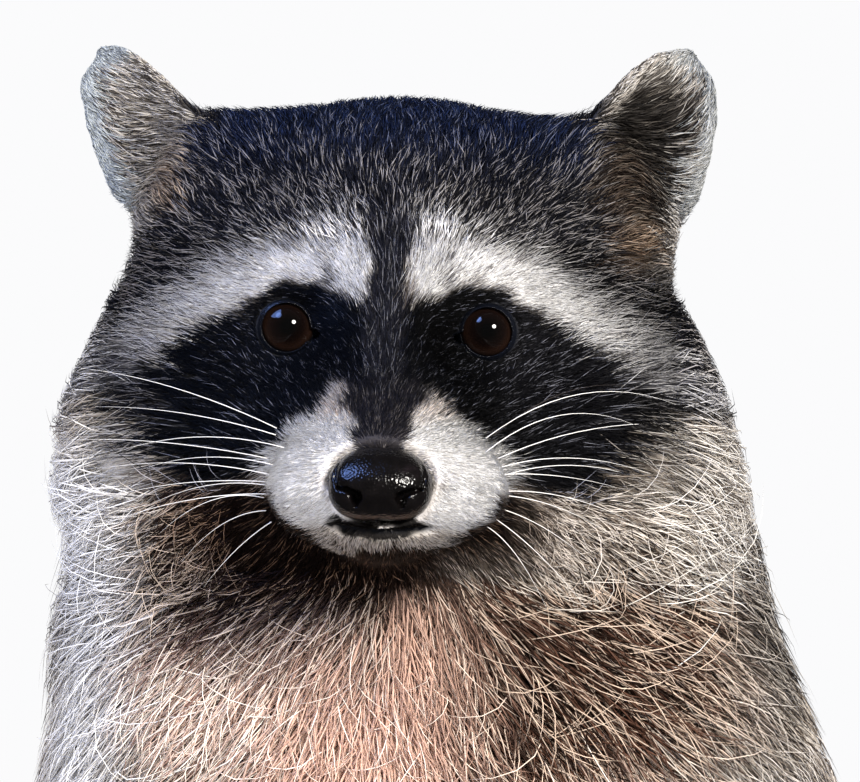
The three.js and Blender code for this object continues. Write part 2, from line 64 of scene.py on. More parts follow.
SCALE = {"operation": "SCALE"}


class Part(Enum):
    """Parts of the animal that carry fur, each with the CAD nodes of its flesh."""

    HEAD = ("head",)
    JAW = ("lower_jaw",)
    EAR = ("ear_left", "ear_right")
    NECK = ("neck",)
    TRUNK = ("trunk",)
    TAIL = ("tail",)
    FORELEG = ("foreleg_left", "foreleg_right")
    HINDLEG = ("hindleg_left", "hindleg_right")
    FOREFOOT = ("forefoot_left", "forefoot_right")
    HINDFOOT = ("hindfoot_left", "hindfoot_right")


PARTS = list(Part)


def on_parts(parts: Array) -> dict[Part, Array]:
    """Says for each part which places are on it."""
    return {part: parts == number for number, part in enumerate(PARTS)}


def linear(code: str) -> Colour:
    """Turns an sRGB hex colour to linear.

    Args:
        code: Colour such as "#8a7f72".

    Returns:
        Red, green, blue and an alpha of 1, linear.
    """
    values = [int(code[i : i + 2], 16) / 255 for i in (1, 3, 5)]
    red, green, blue = [v / 12.92 if v <= 0.04045 else ((v + 0.055) / 1.055) ** 2.4 for v in values]
    return red, green, blue, 1.0


def ramp(low: float, high: float, values: Array) -> Array:
    """Goes smoothly from 0 at low to 1 at high, whichever of them is larger.

    Args:
        low: Value that gives 0.
        high: Value that gives 1.
        values: Numbers to turn.

    Returns:
        Numbers from 0 to 1.
    """
    t = np.clip((values - low) / (high - low), 0.0, 1.0)
    return t * t * (3.0 - 2.0 * t)


def unit(vectors: Array) -> Array:
    """Makes each row one long."""
    return vectors / np.maximum(np.linalg.norm(vectors, axis=-1, keepdims=True), 1e-12)


def along_skin(ways: Array, normals: Array) -> Array:
    """Turns each way into the unit vector nearest to it that is square to its normal."""
    return unit(ways - normals * (ways * normals).sum(1, keepdims=True))


def search_tree(points: Array) -> KDTree:
    """Makes a tree that finds the nearest of some points.

    Args:
        points: Places, a row each.

    Returns:
        The tree.
    """
    tree = KDTree(len(points))
    for i, point in enumerate(points):
        tree.insert(point, i)
    tree.balance()
    return tree


def nearest(tree: KDTree, points: Array) -> Array:
    """Finds the number of the tree's point that is nearest to each point."""
    return np.fromiter((tree.find(p)[1] for p in points), np.int64, len(points))


def drift(points: Array, size: float, seed: int) -> Array:
    """Slow waves that wander over the body.

    Args:
        points: Places in mm, a row each.
        size: Length of a wave in mm.
        seed: Picks the waves.

    Returns:
        One number a place, about -1 to 1.
    """
    rng = np.random.default_rng(seed)
    total = np.zeros(len(points))
    for _ in range(6):
        way = unit(rng.normal(size=3)) * (2 * math.pi / size) * rng.uniform(0.6, 1.5)
        total += np.sin(points @ way + rng.uniform(0, 2 * math.pi))
    return total / 2.4


@dataclass(frozen=True)
class Stance:
    """Where the head and the body are, read from the boxes of the CAD nodes.

    Head places are in mm from midway between the eyes: x to the animal's left, y
    backwards and z up. Body places are in mm from the floor under the chest.
    """

    eyes: Array
    axes: Array
    ground: Array
    swing: float = 1.3
    muzzle: tuple = (-12, -48)
    over_chest: tuple = (-0.010, -0.062)

    @classmethod
    def read(cls) -> "Stance":
        """Reads the frame.

        Returns:
            The stance of this model.
        """
        left, right = [np.array(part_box(node)).sum(0) / 2 for node in ("eye_left", "eye_right")]
        side = unit(left - right)
        back = unit(np.cross((0.0, 0.0, 1.0), side))
        middle = (left + right) / 2
        over_chest = np.array((*cls.over_chest, middle[2]))
        return cls(middle, np.array((side, back, np.cross(side, back))), middle - over_chest)

    def straight(self, places: Array) -> Array:
        """Turns metres in the frame to mm along the head's axes, without the muzzle's swing."""
        return (places - self.eyes) @ self.axes.T / MM

    def to_head(self, places: Array) -> Array:
        """Turns metres in the frame to head mm, which swing to the left with the muzzle.

        Args:
            places: Places in metres.

        Returns:
            Places in head mm.
        """
        head = self.straight(places)
        head[..., 0] -= self.swing * ramp(*self.muzzle, head[..., 1])
        return head

    def from_head(self, places: Array) -> Array:
        """Turns head mm to metres in the frame.

        Args:
            places: Places in head mm.

        Returns:
            Places in metres.
        """
        head = np.array(places, float)
        head[..., 0] += self.swing * ramp(*self.muzzle, head[..., 1])
        return head * MM @ self.axes + self.eyes

    def to_body(self, places: Array) -> Array:
        """Turns metres in the frame to body mm."""
        return (places - self.ground) / MM


def new_mesh(name: str, points: Array, triangles: Array) -> bpy.types.Mesh:
    """Makes a mesh of triangles from arrays.

    Args:
        name: Name of the mesh.
        points: Corners in metres, a row each.
        triangles: Three corner numbers a row, counter-clockwise from outside.

    Returns:
        The mesh, shaded smooth.
    """
    mesh = bpy.data.meshes.new(name)
    mesh.vertices.add(len(points))
    mesh.vertices.foreach_set("co", points.astype(np.float32).ravel())
    mesh.loops.add(triangles.size)
    mesh.loops.foreach_set("vertex_index", triangles.astype(np.int32).ravel())
    mesh.polygons.add(len(triangles))
    mesh.polygons.foreach_set("loop_start", np.arange(0, triangles.size, 3, dtype=np.int32))
    mesh.update(calc_edges=True)
    mesh.shade_smooth()
    return mesh


def from_bmesh(work: bmesh.types.BMesh, name: str) -> bpy.types.Mesh:
    """Turns a finished bmesh into a mesh, shaded smooth.

    Args:
        work: The bmesh; it's freed.
        name: Name of the mesh.

    Returns:
        The mesh.
    """
    mesh = bpy.data.meshes.new(name)
    work.to_mesh(mesh)
    work.free()
    mesh.shade_smooth()
    return mesh


def add_values(mesh: bpy.types.Mesh, name: str, values: Array) -> None:
    """Stores a number for each vertex."""
    mesh.attributes.new(name, "FLOAT", "POINT").data.foreach_set("value", values.astype(np.float32))


def add_colours(mesh: bpy.types.Mesh, colours: Array) -> None:
    """Stores each vertex's linear red, green and blue as the coat's colour.

    Args:
        mesh: Mesh to colour.
        colours: A row each.
    """
    layer = mesh.color_attributes.new(COAT, "FLOAT_COLOR", "POINT")
    full = np.ones((len(colours), 4), np.float32)
    full[:, :3] = colours
    layer.data.foreach_set("color", full.ravel())


def show(name: str, data: bpy.types.ID) -> bpy.types.Object:
    """Puts an object into the scene.

    Args:
        name: Its name.
        data: Its mesh, lamp or camera.

    Returns:
        The object.
    """
    shown = bpy.data.objects.new(name, data)
    bpy.context.scene.collection.objects.link(shown)
    return shown


def put_in(
    mesh: bpy.types.Mesh, material: bpy.types.Material, slot: str, *nodes: str
) -> bpy.types.Object:
    """Puts a finished piece into the scene and tells the frame about it.

    Args:
        mesh: The piece's mesh, its place in its vertices.
        material: Its finish.
        slot: Not used.
        nodes: CAD nodes that it stands for.

    Returns:
        The piece.
    """
    piece = show(mesh.name, mesh)
    mesh.materials.append(material)
    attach(piece, BODY)
    if nodes:
        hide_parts(*nodes)
    LOG.info("%s: %d triangles", piece.name, len(mesh.loops) - 2 * len(mesh.polygons))
    return piece


# ---------------------------------------------------------------- finishes


@dataclass(frozen=True)
class Painter:
    """Adds nodes to one material or world."""

    owner: bpy.types.Material | bpy.types.World

    @classmethod
    def start(cls, name: str) -> "Painter":
        """Makes an empty material.

        Args:
            name: The real material's name.

        Returns:
            A painter for it.
        """
        material = bpy.data.materials.new(name)
        material.use_nodes = True
        material.node_tree.nodes.clear()
        return cls(material)

    def add(
        self, kind: str, settings: Settings | None = None, stops: Stops = (), **links: object
    ) -> bpy.types.Node:
        """Adds a node, with its settings and what goes into it.

        Args:
            kind: Blender's name of the node type.
            settings: Properties of the node.
            stops: Places and hex colours, where it is a colour ramp.
            links: Sockets by name, underscores for spaces, or by number as in_0. A
                value is a number, a colour, or a pair of a node and its output.

        Returns:
            The node.
        """
        tree = self.owner.node_tree
        node = tree.nodes.new(kind)
        for key, value in (settings or {}).items():
            setattr(node, key, value)
        for i, (place, code) in enumerate(stops):
            elements = node.color_ramp.elements
            element = elements[i] if i < 2 else elements.new(place)
            element.position, element.color = place, linear(code)
        for key, value in links.items():
            socket = node.inputs[int(key[3:]) if key.startswith("in_") else key.replace("_", " ")]
            if isinstance(value, tuple) and isinstance(value[0], bpy.types.Node):
                tree.links.new(value[0].outputs[value[1]], socket)
            else:
                socket.default_value = value
        return node

    def finish(self, kind: str, **links: object) -> bpy.types.Material:
        """Adds the shader of the whole surface and joins it to the output.

        Args:
            kind: Blender's name of the shader's type.
            links: What goes into the shader, as for add.

        Returns:
            The material.
        """
        shader = self.add(kind, **links)
        self.add("ShaderNodeOutputMaterial", Surface=(shader, "BSDF"))
        return self.owner


@dataclass(frozen=True)
class HairFinish:
    """Keratin hair: its colour comes from the markings, broken up finely along the body."""

    name: str = "raccoon_fur"
    roughness: float = 0.55
    gloss: float = 0.10
    grain: float = 2.2
    change: float = 0.28

    def make(self) -> bpy.types.Material:
        """Builds the material.

        Returns:
            Hair for tufts or whiskers.
        """
        paint = Painter.start(self.name)
        colour = paint.add(ATTRIBUTE, {"attribute_name": COAT})
        place = paint.add(PLACE)
        speck = paint.add(NOISE, Vector=(place, "Object"), Scale=1 / (self.grain * MM), Detail=1.0)
        low, high = 1 - self.change, 1 + self.change
        level = paint.add(RANGE, Value=(speck, "Fac"), To_Min=low, To_Max=high)
        tone = paint.add(VECTOR, SCALE, in_0=(colour, "Color"), Scale=(level, "Result"))
        return paint.finish(
            SHADER,
            Base_Color=(tone, "Vector"),
            Roughness=self.roughness,
            Specular_IOR_Level=self.gloss,
        )


@dataclass(frozen=True)
class HideFinish:
    """Skin with short underfur: the markings' colour, a fine nap, wet rims at eyes and lips."""

    name: str = "raccoon_hide"
    nap: float = 0.5

    def make(self) -> bpy.types.Material:
        """Builds the material.

        Returns:
            Hide for the skin.
        """
        paint = Painter.start(self.name)
        colour = paint.add(ATTRIBUTE, {"attribute_name": COAT})
        wet = paint.add(ATTRIBUTE, {"attribute_name": "wet"})
        place = paint.add(PLACE)
        fine = paint.add(NOISE, Vector=(place, "Object"), Scale=1 / (self.nap * MM), Detail=2.0)
        level = paint.add(RANGE, Value=(fine, "Fac"), To_Min=0.55, To_Max=1.35)
        tone = paint.add(VECTOR, SCALE, in_0=(colour, "Color"), Scale=(level, "Result"))
        smooth = paint.add(RANGE, Value=(wet, "Fac"), To_Min=0.75, To_Max=0.16)
        bump = paint.add(BUMP, Height=(fine, "Fac"), Strength=0.5, Distance=0.4 * MM)
        return paint.finish(
            SHADER,
            Base_Color=(tone, "Vector"),
            Roughness=(smooth, "Result"),
            Normal=(bump, "Normal"),
            Specular_IOR_Level=0.2,
        )


# ---------------------------------------------------------------- markings


@dataclass(frozen=True)
class Shade:
    """Hair at one place: colours of most hairs, pale and dark ones, and shares of those two."""

    main: str
    pale: str
    dark: str
    pale_share: float
    dark_share: float
    # how light the roots and the skin between tufts stay: darker underfur and painted shade between
    # the strands
    root_tone_and_shade: float = 0.45

    def row(self) -> Array:
        """Gives the twelve numbers that are mixed from place to place."""
        hairs = [part for code in (self.main, self.pale, self.dark) for part in linear(code)[:3]]
        return np.array((*hairs, self.pale_share, self.dark_share, self.root_tone_and_shade))


class Hue(Enum):
    """The coat's colours by place."""

    # dark grizzled crown hair, tinted navy as painted blue sky light
    CROWN = Shade("#172240", "#727d9c", "#0b101e", 0.12, 0.30)
    FOREHEAD = Shade("#17171c", "#cdc6c4", "#0c0c10", 0.23, 0.28)
    FRINGE = Shade("#1c1b1f", "#f2eeeb", "#0c0c0f", 0.34, 0.34)
    STREAK = Shade("#2a292f", "#a09fa4", "#131317", 0.14, 0.33)
    BROW = Shade("#fbf8f6", "#ffffff", "#3a3433", 0.55, 0.10, 0.80)
    BROW_FADE = Shade("#77757a", "#e8e6e6", "#141317", 0.36, 0.40)
    BROW_END = Shade("#e4e1de", "#fffdfb", "#29272a", 0.46, 0.18, 0.68)
    # black mask; its sparse blue-white pale hairs are pale hair tips and painted glints
    MASK = Shade("#0a0a0c", "#9a9cab", "#040405", 0.035, 0.38)
    MASK_END = Shade("#1b1a1c", "#9a9592", "#0d0c0d", 0.20, 0.38)
    BRIDGE = Shade("#29262c", "#7a7472", "#151417", 0.12, 0.35)
    MUZZLE = Shade("#fcfbfa", "#ffffff", "#b3aca6", 0.42, 0.09, 0.72)
    # greyed white fur: painted shade beside the nose and low on the muzzle's right side
    MUZZLE_RIM = Shade("#b9b3ae", "#dcd7d3", "#6d6560", 0.40, 0.15, 0.8)
    MUZZLE_TOP = Shade("#e9dacf", "#fbf4ee", "#7b6253", 0.42, 0.12, 0.72)
    LIP = Shade("#0c0a09", "#4c453f", "#050404", 0.06, 0.40)
    CHIN = Shade("#c6bbae", "#e9e1d5", "#54483f", 0.36, 0.24)
    # dark brown throat fur, darkened further as a painted shadow of the muzzle
    THROAT = Shade("#20120b", "#93745d", "#0d0604", 0.07, 0.36)
    # dark jowl fur below the muzzle's sides, darkened further as a painted shadow of the muzzle
    JOWL = Shade("#21150f", "#9a7e69", "#0d0704", 0.14, 0.38)
    # dark brown lower cheeks; on the animal's right they also stand for painted shade beside the
    # muzzle
    CHEEK = Shade("#40302a", "#d6c4b3", "#160c08", 0.36, 0.36)
    CHEEK_SIDE = Shade("#a39688", "#efe8de", "#3a2e27", 0.50, 0.16)
    RUFF = Shade("#b8b0a6", "#f3efe9", "#5a5048", 0.50, 0.10, 0.6)
    CHEST = Shade("#d9b5a2", "#f3e4d6", "#cfa995", 0.08, 0.15, 1.0)
    CHEST_PALE = Shade("#d3b8a8", "#fff2e4", "#86665a", 0.46, 0.12, 0.88)
    CHEST_SIDE = Shade("#5f4234", "#dcc5b0", "#22140d", 0.33, 0.32, 0.48)
    SHOULDER = Shade("#9b9187", "#ded7cf", "#4a4038", 0.46, 0.18, 0.62)
    BACK = Shade("#5a5149", "#a9a196", "#26201d", 0.34, 0.34, 0.6)
    FLANK = Shade("#82776b", "#c0b7ab", "#403630", 0.42, 0.22, 0.62)
    BELLY = Shade("#a08f7e", "#d3c7b9", "#584a3f", 0.40, 0.14, 0.65)
    LEG = Shade("#7c7369", "#bab2a7", "#3b322d", 0.38, 0.22, 0.62)
    WRIST = Shade("#4a3d34", "#9a8c7e", "#1f1814", 0.25, 0.35)
    PAW = Shade("#a59b8e", "#d3ccc1", "#5a4f47", 0.35, 0.15)
    TAIL_PALE = Shade("#94836f", "#cfc3b2", "#4a3d33", 0.42, 0.14)
    TAIL_RING = Shade("#1d1815", "#5c5048", "#0e0b0a", 0.10, 0.40)
    NAPE = Shade("#4a4540", "#a9a299", "#1f1b19", 0.34, 0.34, 0.58)
    EAR_BACK = Shade("#4f4a46", "#a9a49d", "#1c1917", 0.30, 0.30)
    EAR_INNER = Shade("#9f9890", "#cfcbc5", "#453f3a", 0.40, 0.20)
    # near-black ear hollow: painted shade, far stronger in the left ear
    EAR_DEEP = Shade("#110d0b", "#4c463f", "#070505", 0.10, 0.42)
    EAR_RIM = Shade("#8f9598", "#a9afb2", "#7f868a", 0.40, 0.06, 1.0)
    # pale outer coat with a painted rim light, laid only on the animal's right edge
    EDGE_PALE = Shade("#dcdbda", "#ffffff", "#989390", 0.50, 0.06, 0.8)
    EAR_EDGE = Shade("#16161b", "#6f6c6e", "#0b0b0e", 0.12, 0.40)
    EAR_SPOT = Shade("#86705d", "#c4b09b", "#3a2a1f", 0.36, 0.22, 0.65)
    EAR_ROOT = Shade("#4a3a2f", "#9a8470", "#1d1510", 0.25, 0.30)


@dataclass(frozen=True)
class Canvas:
    """Places to colour: in head mm and body mm, with the part under each and its shade so far."""

    head: Array
    body: Array
    on: dict[Part, Array]
    shades: Array

    def lay(self, hue: Hue, mask: Array) -> None:
        """Lays a hue over a mask from 0 to 1."""
        self.shades[:] += (hue.value.row() - self.shades) * np.clip(1.0 * mask, 0, 1)[:, None]


@dataclass(frozen=True)
class Markings:
    """Colours of skin and coat at any place of the body.

    The face is drawn by a few edges in head mm, the same on both sides: the heights of the
    brow stripe's top, of the mask's top and of its foot, and the muzzle patch's half width.
    """

    stance: Stance
    brow_top: tuple = (
        (0, 5, 9, 13, 22, 31, 40, 46, 52, 60, 66, 76),
        (20, 23, 25.5, 26, 22.5, 19.8, 16.0, 12.5, 7.2, 1.2, -3.2, -14),
    )
    mask_top: tuple = (
        (0, 5, 9, 13.6, 22, 27.6, 31.3, 36, 40, 46.2, 50.6, 55, 62, 70),
        (9, 9, 8, 9.5, 12.3, 10.6, 6.6, 4.6, 4.0, 1.4, -1.5, -5.0, -10, -16.5),
    )
    mask_foot: tuple = (
        (0, 9, 12, 20, 28, 36, 48, 58, 66, 72),
        (-13, -15, -16, -22, -31, -37, -38, -33, -26, -18),
    )
    muzzle_side: tuple = (
        (-50.9, -50.1, -49, -47.5, -46, -44, -41.5, -38, -34, -31, -28, -25, -20, -15),
        (-5, 8.5, 13, 15.8, 17, 19, 22, 25, 28, 29.5, 27, 24, 19, 12.5),
    )
    bridge_side: tuple = ((-36, -30, -22, -15), (3, 5.2, 7.0, 9.2))
    ring: float = 45.0
    tail_tip: float = 272.0

    def field(self, places: Array, parts: Array, lengths: Array) -> Array:
        """Works out the shades.

        Args:
            places: Places in metres.
            parts: Number of the part each belongs to.
            lengths: How far along the tail each is, in mm.

        Returns:
            Twelve numbers a place, as Shade.row gives.
        """
        shades = np.tile(Hue.FLANK.value.row(), (len(places), 1))
        head, body = self.stance.to_head(places), self.stance.to_body(places)
        canvas = Canvas(head, body, on_parts(parts), shades)
        self.on_body(canvas)
        self.on_tail(canvas, lengths)
        self.on_face(canvas)
        self.on_ears(canvas)
        return shades

    def on_body(self, canvas: Canvas) -> None:
        """Colours trunk, legs and feet.

        Args:
            canvas: What to colour.
        """
        lay, on = canvas.lay, canvas.on
        fore, hind = on[Part.FORELEG], on[Part.HINDLEG]
        x, y, z = canvas.body.T
        waver = drift(canvas.body, 60, 3) * 12
        side = np.abs(x)
        lay(Hue.BACK, ramp(10, 90, y + waver + 0.25 * z) * ramp(75, 20, side + waver))
        lay(Hue.BELLY, ramp(-10, -45, y + waver) * ramp(60, 25, side))
        upper = ramp(100, 190, z + waver)
        lay(Hue.CHEST_PALE, ramp(15, -30, y + waver) * upper * ramp(85, 35, side) * 0.8)
        lay(Hue.CHEST, ramp(5, -34, y) * ramp(170, 235, z + waver) * ramp(52, 10, side) * 0.85)
        lay(Hue.LEG, fore * ramp(250, 150, z) + hind * 0.7)
        lay(Hue.SHOULDER, fore * ramp(150, 220, z + waver))
        lay(Hue.WRIST, fore * ramp(22, 40, z) * ramp(95, 55, z + waver) * 0.75)
        lay(Hue.WRIST, hind * ramp(38, 10, z + waver) * ramp(60, 100, y) * 0.8)
        lay(Hue.PAW, on[Part.FOREFOOT] | on[Part.HINDFOOT])
        lay(Hue.WRIST, on[Part.HINDFOOT] * ramp(60, 100, y) * 0.7)

    def on_tail(self, canvas: Canvas, lengths: Array) -> None:
        """Rings the tail.

        Args:
            canvas: What to colour.
            lengths: Mm along the tail.
        """
        along = lengths + drift(canvas.body, 30, 4) * 3
        turn = np.mod(along, self.ring) / self.ring
        rings = ramp(0.50, 0.60, turn) * ramp(1.0, 0.90, turn) * ramp(30, 50, along)
        tip = ramp(self.tail_tip - 40, self.tail_tip - 32, along)
        canvas.lay(Hue.TAIL_PALE, canvas.on[Part.TAIL])
        canvas.lay(Hue.TAIL_RING, canvas.on[Part.TAIL] * np.maximum(rings, tip))

    def on_face(self, canvas: Canvas) -> None:
        """Colours head and neck.

        Args:
            canvas: What to colour.
        """
        lay, on, head = canvas.lay, canvas.on, canvas.head
        across, y, left = head[:, 0], head[:, 1], head[:, 0] > 0
        x = np.abs(across) + drift(head, 9, 11)
        z = head[:, 2] + drift(head, 9, 12)
        edges = (self.brow_top, self.mask_top, self.mask_foot)
        top, brow, foot = [np.interp(x, *edge) for edge in edges]
        skull = on[Part.HEAD] | on[Part.JAW]
        face = skull | on[Part.NECK] | on[Part.EAR]
        front = face * ramp(62, 38, y)

        # neck and chest, from the throat outwards
        lay(Hue.SHOULDER, on[Part.NECK])
        lay(Hue.NAPE, face * ramp(15, 60, y))
        chest = face * ramp(46, 20, y)
        sides = np.where(left, ramp(104, 72, x), 0.75 * ramp(88, 56, x))
        lay(Hue.CHEST_SIDE, chest * ramp(-46, -62, z) * sides)
        lay(Hue.CHEST_PALE, chest * ramp(-56, -70, z) * ramp(-4, -34, across))
        middle = ramp(40, 8, np.abs(across + 3) + 0.1 * (z + 80))
        lay(Hue.CHEST, chest * ramp(-56, -74, z) * middle)
        # cheeks
        lay(Hue.RUFF, skull * ramp(70, 40, y))
        lay(Hue.CHEEK_SIDE, front * skull * ramp(84, 60, x))
        # dark lower cheeks, laid at 0.28 on the animal's left: on the right they are also painted
        # shade beside the muzzle
        low = ramp(-28, -40, z) * ramp(-92, -64, z)
        lay(Hue.CHEEK, front * ramp(74, 52, x + 0.3 * z + 12) * low * np.where(left, 0.28, 1.0))
        # paler outer edge on the animal's right: pale hair and a painted rim light from the sky
        # side
        low = ramp(-16, -44, z) * ramp(-150, -110, z)
        lay(Hue.EDGE_PALE, ramp(-54, -72, across) * ramp(60, 30, y) * low)
        # painted shadow below the muzzle's sides over dark jowl fur, wider on the animal's right
        low = ramp(-34, -40, z) * ramp(-60, -48, z)
        lay(Hue.JOWL, front * ramp(52, 36, x + 8 * np.sign(across)) * low)
        # painted shadow of the muzzle over the dark throat fur, reaching further on the animal's
        # right
        low = ramp(-37, -42, z + 0.12 * x) * ramp(-70, -57, z)
        lay(Hue.THROAT, face * low * ramp(48, 30, x) * ramp(24, 5, across) * ramp(62, 42, y))
        # crown, its dark hair tinted with painted blue sky light
        over = ramp(-6, 6, z - top + 0.12 * (y + 20))
        lay(Hue.CROWN, face * over * ramp(-30, 0, z))
        lay(Hue.FOREHEAD, front * over * ramp(56, 33, z))
        lay(Hue.FRINGE, front * over * ramp(10, 1, z - top))
        lay(Hue.NAPE, skull * ramp(36, 68, y + x - np.abs(across)))
        # brow stripe
        stripe = front * ramp(-1.6, 1.6, z - brow) * ramp(3.2, -2.6, z - top)
        stripe *= ramp(3.8, 5.8, x - 1.3 * left)
        lay(Hue.BROW, stripe)
        lay(Hue.BROW_END, stripe * ramp(30, 50, x - 12 * left))
        fade = np.maximum(ramp(52, 66, x), ramp(-6.5, 0, z - top) * np.where(left, 0.3, 0.6))
        lay(Hue.BROW_FADE, stripe * fade)
        cleft = ramp(2.6, 0.8, np.abs(x - 14.5 + 0.12 * (z - 14)))
        lay(Hue.STREAK, stripe * 0.8 * cleft * ramp(23, 13, z))
        # mask
        dark = front * ramp(1.3, -1.3, z - brow) * ramp(-1.6, 1.6, z - foot)
        lay(Hue.MASK, dark * ramp(78, 66, x))
        lay(Hue.STREAK, dark * 0.3 * left * ramp(20, 34, x))
        lay(Hue.MASK_END, dark * ramp(52, 66, x) * ramp(80, 68, x))
        lay(Hue.STREAK, front * ramp(5.8, 3.8, x) * ramp(-20, -6, z) * ramp(34, 22, z))
        # muzzle
        wide = np.interp(z, *self.muzzle_side) + 3.2 * left * ramp(-18, -28, z) * ramp(-48, -40, z)
        narrow = np.interp(z, *self.bridge_side)
        fore = ramp(4, -8, y)
        patch = fore * ramp(1.4, -1.2, x - wide) * ramp(-52.5, -51, z) * ramp(-12.4, -16.4, z)
        patch = patch * face
        lay(Hue.MUZZLE, patch)
        # painted shade on the white fur round the nose
        lay(Hue.MUZZLE_RIM, patch * ramp(16.2, 12.6, np.hypot(x, 1.3 * (z + 34.8))) * 0.9)
        # painted shade low on the muzzle, on the animal's right
        lay(Hue.MUZZLE_RIM, patch * ramp(-38, -50, z) * ramp(-4, -16, across) * 0.7)
        lay(Hue.MUZZLE_TOP, patch * ramp(-22, -15, z))
        bridge = ramp(-40, -34, z) * ramp(-8, -14, z)
        lay(Hue.BRIDGE, face * fore * ramp(1.0, -1.0, x - narrow) * bridge)
        lay(Hue.CHIN, patch * ramp(-43.4, -47.0, z) * 0.9)
        lips = ramp(-48.6, -47.4, z - 0.018 * x * x) * ramp(-42.6, -43.2, z)
        lay(Hue.LIP, face * ramp(-36, -42, y) * ramp(12.5, 10.5, x) * lips)

    def on_ears(self, canvas: Canvas) -> None:
        """Colours the ears: a pale rim, long grey hair inside, and painted shade deep in the hollow
        towards the root, much stronger in the animal's left ear.

        Args:
            canvas: What to colour.
        """
        lay, head, on = canvas.lay, canvas.head, canvas.on[Part.EAR]
        skull = canvas.on[Part.HEAD] | canvas.on[Part.JAW]
        up, across, out = Ear.local(head)
        edge, left, ahead = Ear.edge(head), head[:, 0] > 0, ramp(-0.5, 0.5, out)
        # deep: how strongly each ear is painted in shade, 0.95 on the left ear and 0.25 on the
        # right; its spot and root colour are laid less there
        deep = np.where(left, 0.95, 0.25)
        lay(Hue.EAR_BACK, on)
        front = np.where(on, ahead, Ear.hollow(head) * skull)
        lay(Hue.EAR_INNER, front)
        lay(Hue.EAR_DEEP, front * ramp(0.9, 0.55, np.abs(edge)) * ramp(40, 30, up) * deep)
        lay(Hue.EAR_SPOT, front * ramp(13, 3, np.hypot(up - 7, across + 2)) * (1 - 0.8 * deep))
        lay(Hue.EAR_SPOT, ahead * ramp(9.5, 2.5, np.hypot(up + 5, across - 6)) * 0.85 * left)
        lay(Hue.EAR_ROOT, front * ramp(4, -2, up) * (1 - 0.85 * deep))
        rim = np.maximum(ramp(0.80, 0.86, edge) * ramp(4, 12, up), ramp(38.5, 41, up))
        # the left ear's pale rim is laid weaker, partly as painted shade on that ear
        lay(Hue.EAR_RIM, on * rim * np.where(left, 0.62, 1.0))
        lay(Hue.EAR_EDGE, on * ramp(-0.78, -0.92, edge) * ramp(30, 20, up))


class Ear:
    """Shape of an ear in head mm: how far a place is up it, across it and out of its hollow."""

    LENGTH = 44.0
    HALF_WIDTH = 15.5
    ROOT = (47.0, 38.0, 29.0)
    SHIFT = 2.0
    LEAN = 30.0
    SKEW = 4.5
    DISH = 9
    OUTER_LEFT = ((0, 10, 20, 30, 38, 42, 46), (17.0, 17.2, 16.6, 14.0, 9.6, 5.5, 2.0))
    OUTER_RIGHT = ((0, 10, 20, 30, 38, 42, 46), (15.2, 16.0, 15.4, 13.0, 9.2, 6.0, 2.0))
    INNER_LEFT = ((0, 14, 20, 30, 38, 42, 46), (-15.0, -14.3, -13.2, -9.8, -5.5, -2.5, -0.5))
    INNER_RIGHT = ((0, 14, 20, 30, 38, 42, 46), (-15.0, -14.0, -10.0, -7.2, -4.8, -2.5, -0.5))

    @classmethod
    def local(cls, head: Array) -> tuple[Array, Array, Array]:
        """Measures places against the ear on their side.

        Args:
            head: Head mm.

        Returns:
            Mm up the ear, across it towards its outer edge, and forwards of its mid surface.
        """
        up, across, out = np.zeros((3, len(head)))
        for side in (-1, 1):
            on = head[:, 0] * side > 0
            axis, wide = cls.frame(side)
            face = np.cross(axis, wide)
            face = face if face[1] < 0 else -face
            root = np.array((side * cls.ROOT[0] + cls.SHIFT, *cls.ROOT[1:]))
            away = head[on] - root
            t = np.clip(away @ axis / cls.LENGTH, 0, 1)
            u = (away @ wide) / np.maximum(cls.half(t * cls.LENGTH), 1)
            up[on], across[on] = away @ axis, away @ wide
            dish = cls.DISH * (1 - np.clip(u * u, 0, 1)) * (1 - 0.55 * t)
            out[on] = away @ face + dish - 4 * t
        return up, across, out

    @classmethod
    def frame(cls, side: int) -> tuple[Array, Array]:
        """Gives an ear's directions.

        Args:
            side: 1 on the animal's left, -1 on its right.

        Returns:
            The way up the ear and the way to its outer edge.
        """
        lean = math.radians(cls.LEAN - side * cls.SKEW)
        axis = unit(np.array((side * math.sin(lean), 0.12, math.cos(lean))))
        return axis, unit(np.array((side * math.cos(lean), 0.3, -math.sin(lean))))

    @classmethod
    def axes(cls, head: Array, which: int) -> Array:
        """Gives for each place the way up its ear, or with which at 1 the way across it."""
        left = (head[:, 0] > 0)[:, None]
        return np.where(left, cls.frame(1)[which], cls.frame(-1)[which])

    @classmethod
    def edge(cls, head: Array) -> Array:
        """Says how near places are to the ear's outline.

        Args:
            head: Head mm.

        Returns:
            -1 on its inner edge, 1 on its outer edge or tip.
        """
        up, across, _ = cls.local(head)
        edges = ((cls.OUTER_LEFT, cls.OUTER_RIGHT), (cls.INNER_LEFT, cls.INNER_RIGHT))
        outer, inner = [
            np.where(head[:, 0] > 0, np.interp(up, *left), np.interp(up, *right))
            for left, right in edges
        ]
        return (across - (outer + inner) / 2) / ((outer - inner) / 2)

    @classmethod
    def hollow(cls, head: Array) -> Array:
        """Says how far, 0 to 1, places on the skull before an ear's root belong to its hollow."""
        x, y, z = np.abs(head[:, 0] + 1.8), head[:, 1], head[:, 2]
        return ramp(48.6, 51.2, x) * ramp(-2, 2, z - 32 + 1.1 * (x - 50)) * ramp(62, 50, y)

    @classmethod
    def half(cls, up: Array) -> Array:
        """Gives half the ear's width, in mm, at a height up it."""
        return cls.HALF_WIDTH * np.sqrt(np.maximum(1 - np.clip(up / cls.LENGTH, 0, 1) ** 1.7, 0.0))


# ---------------------------------------------------------------- skin


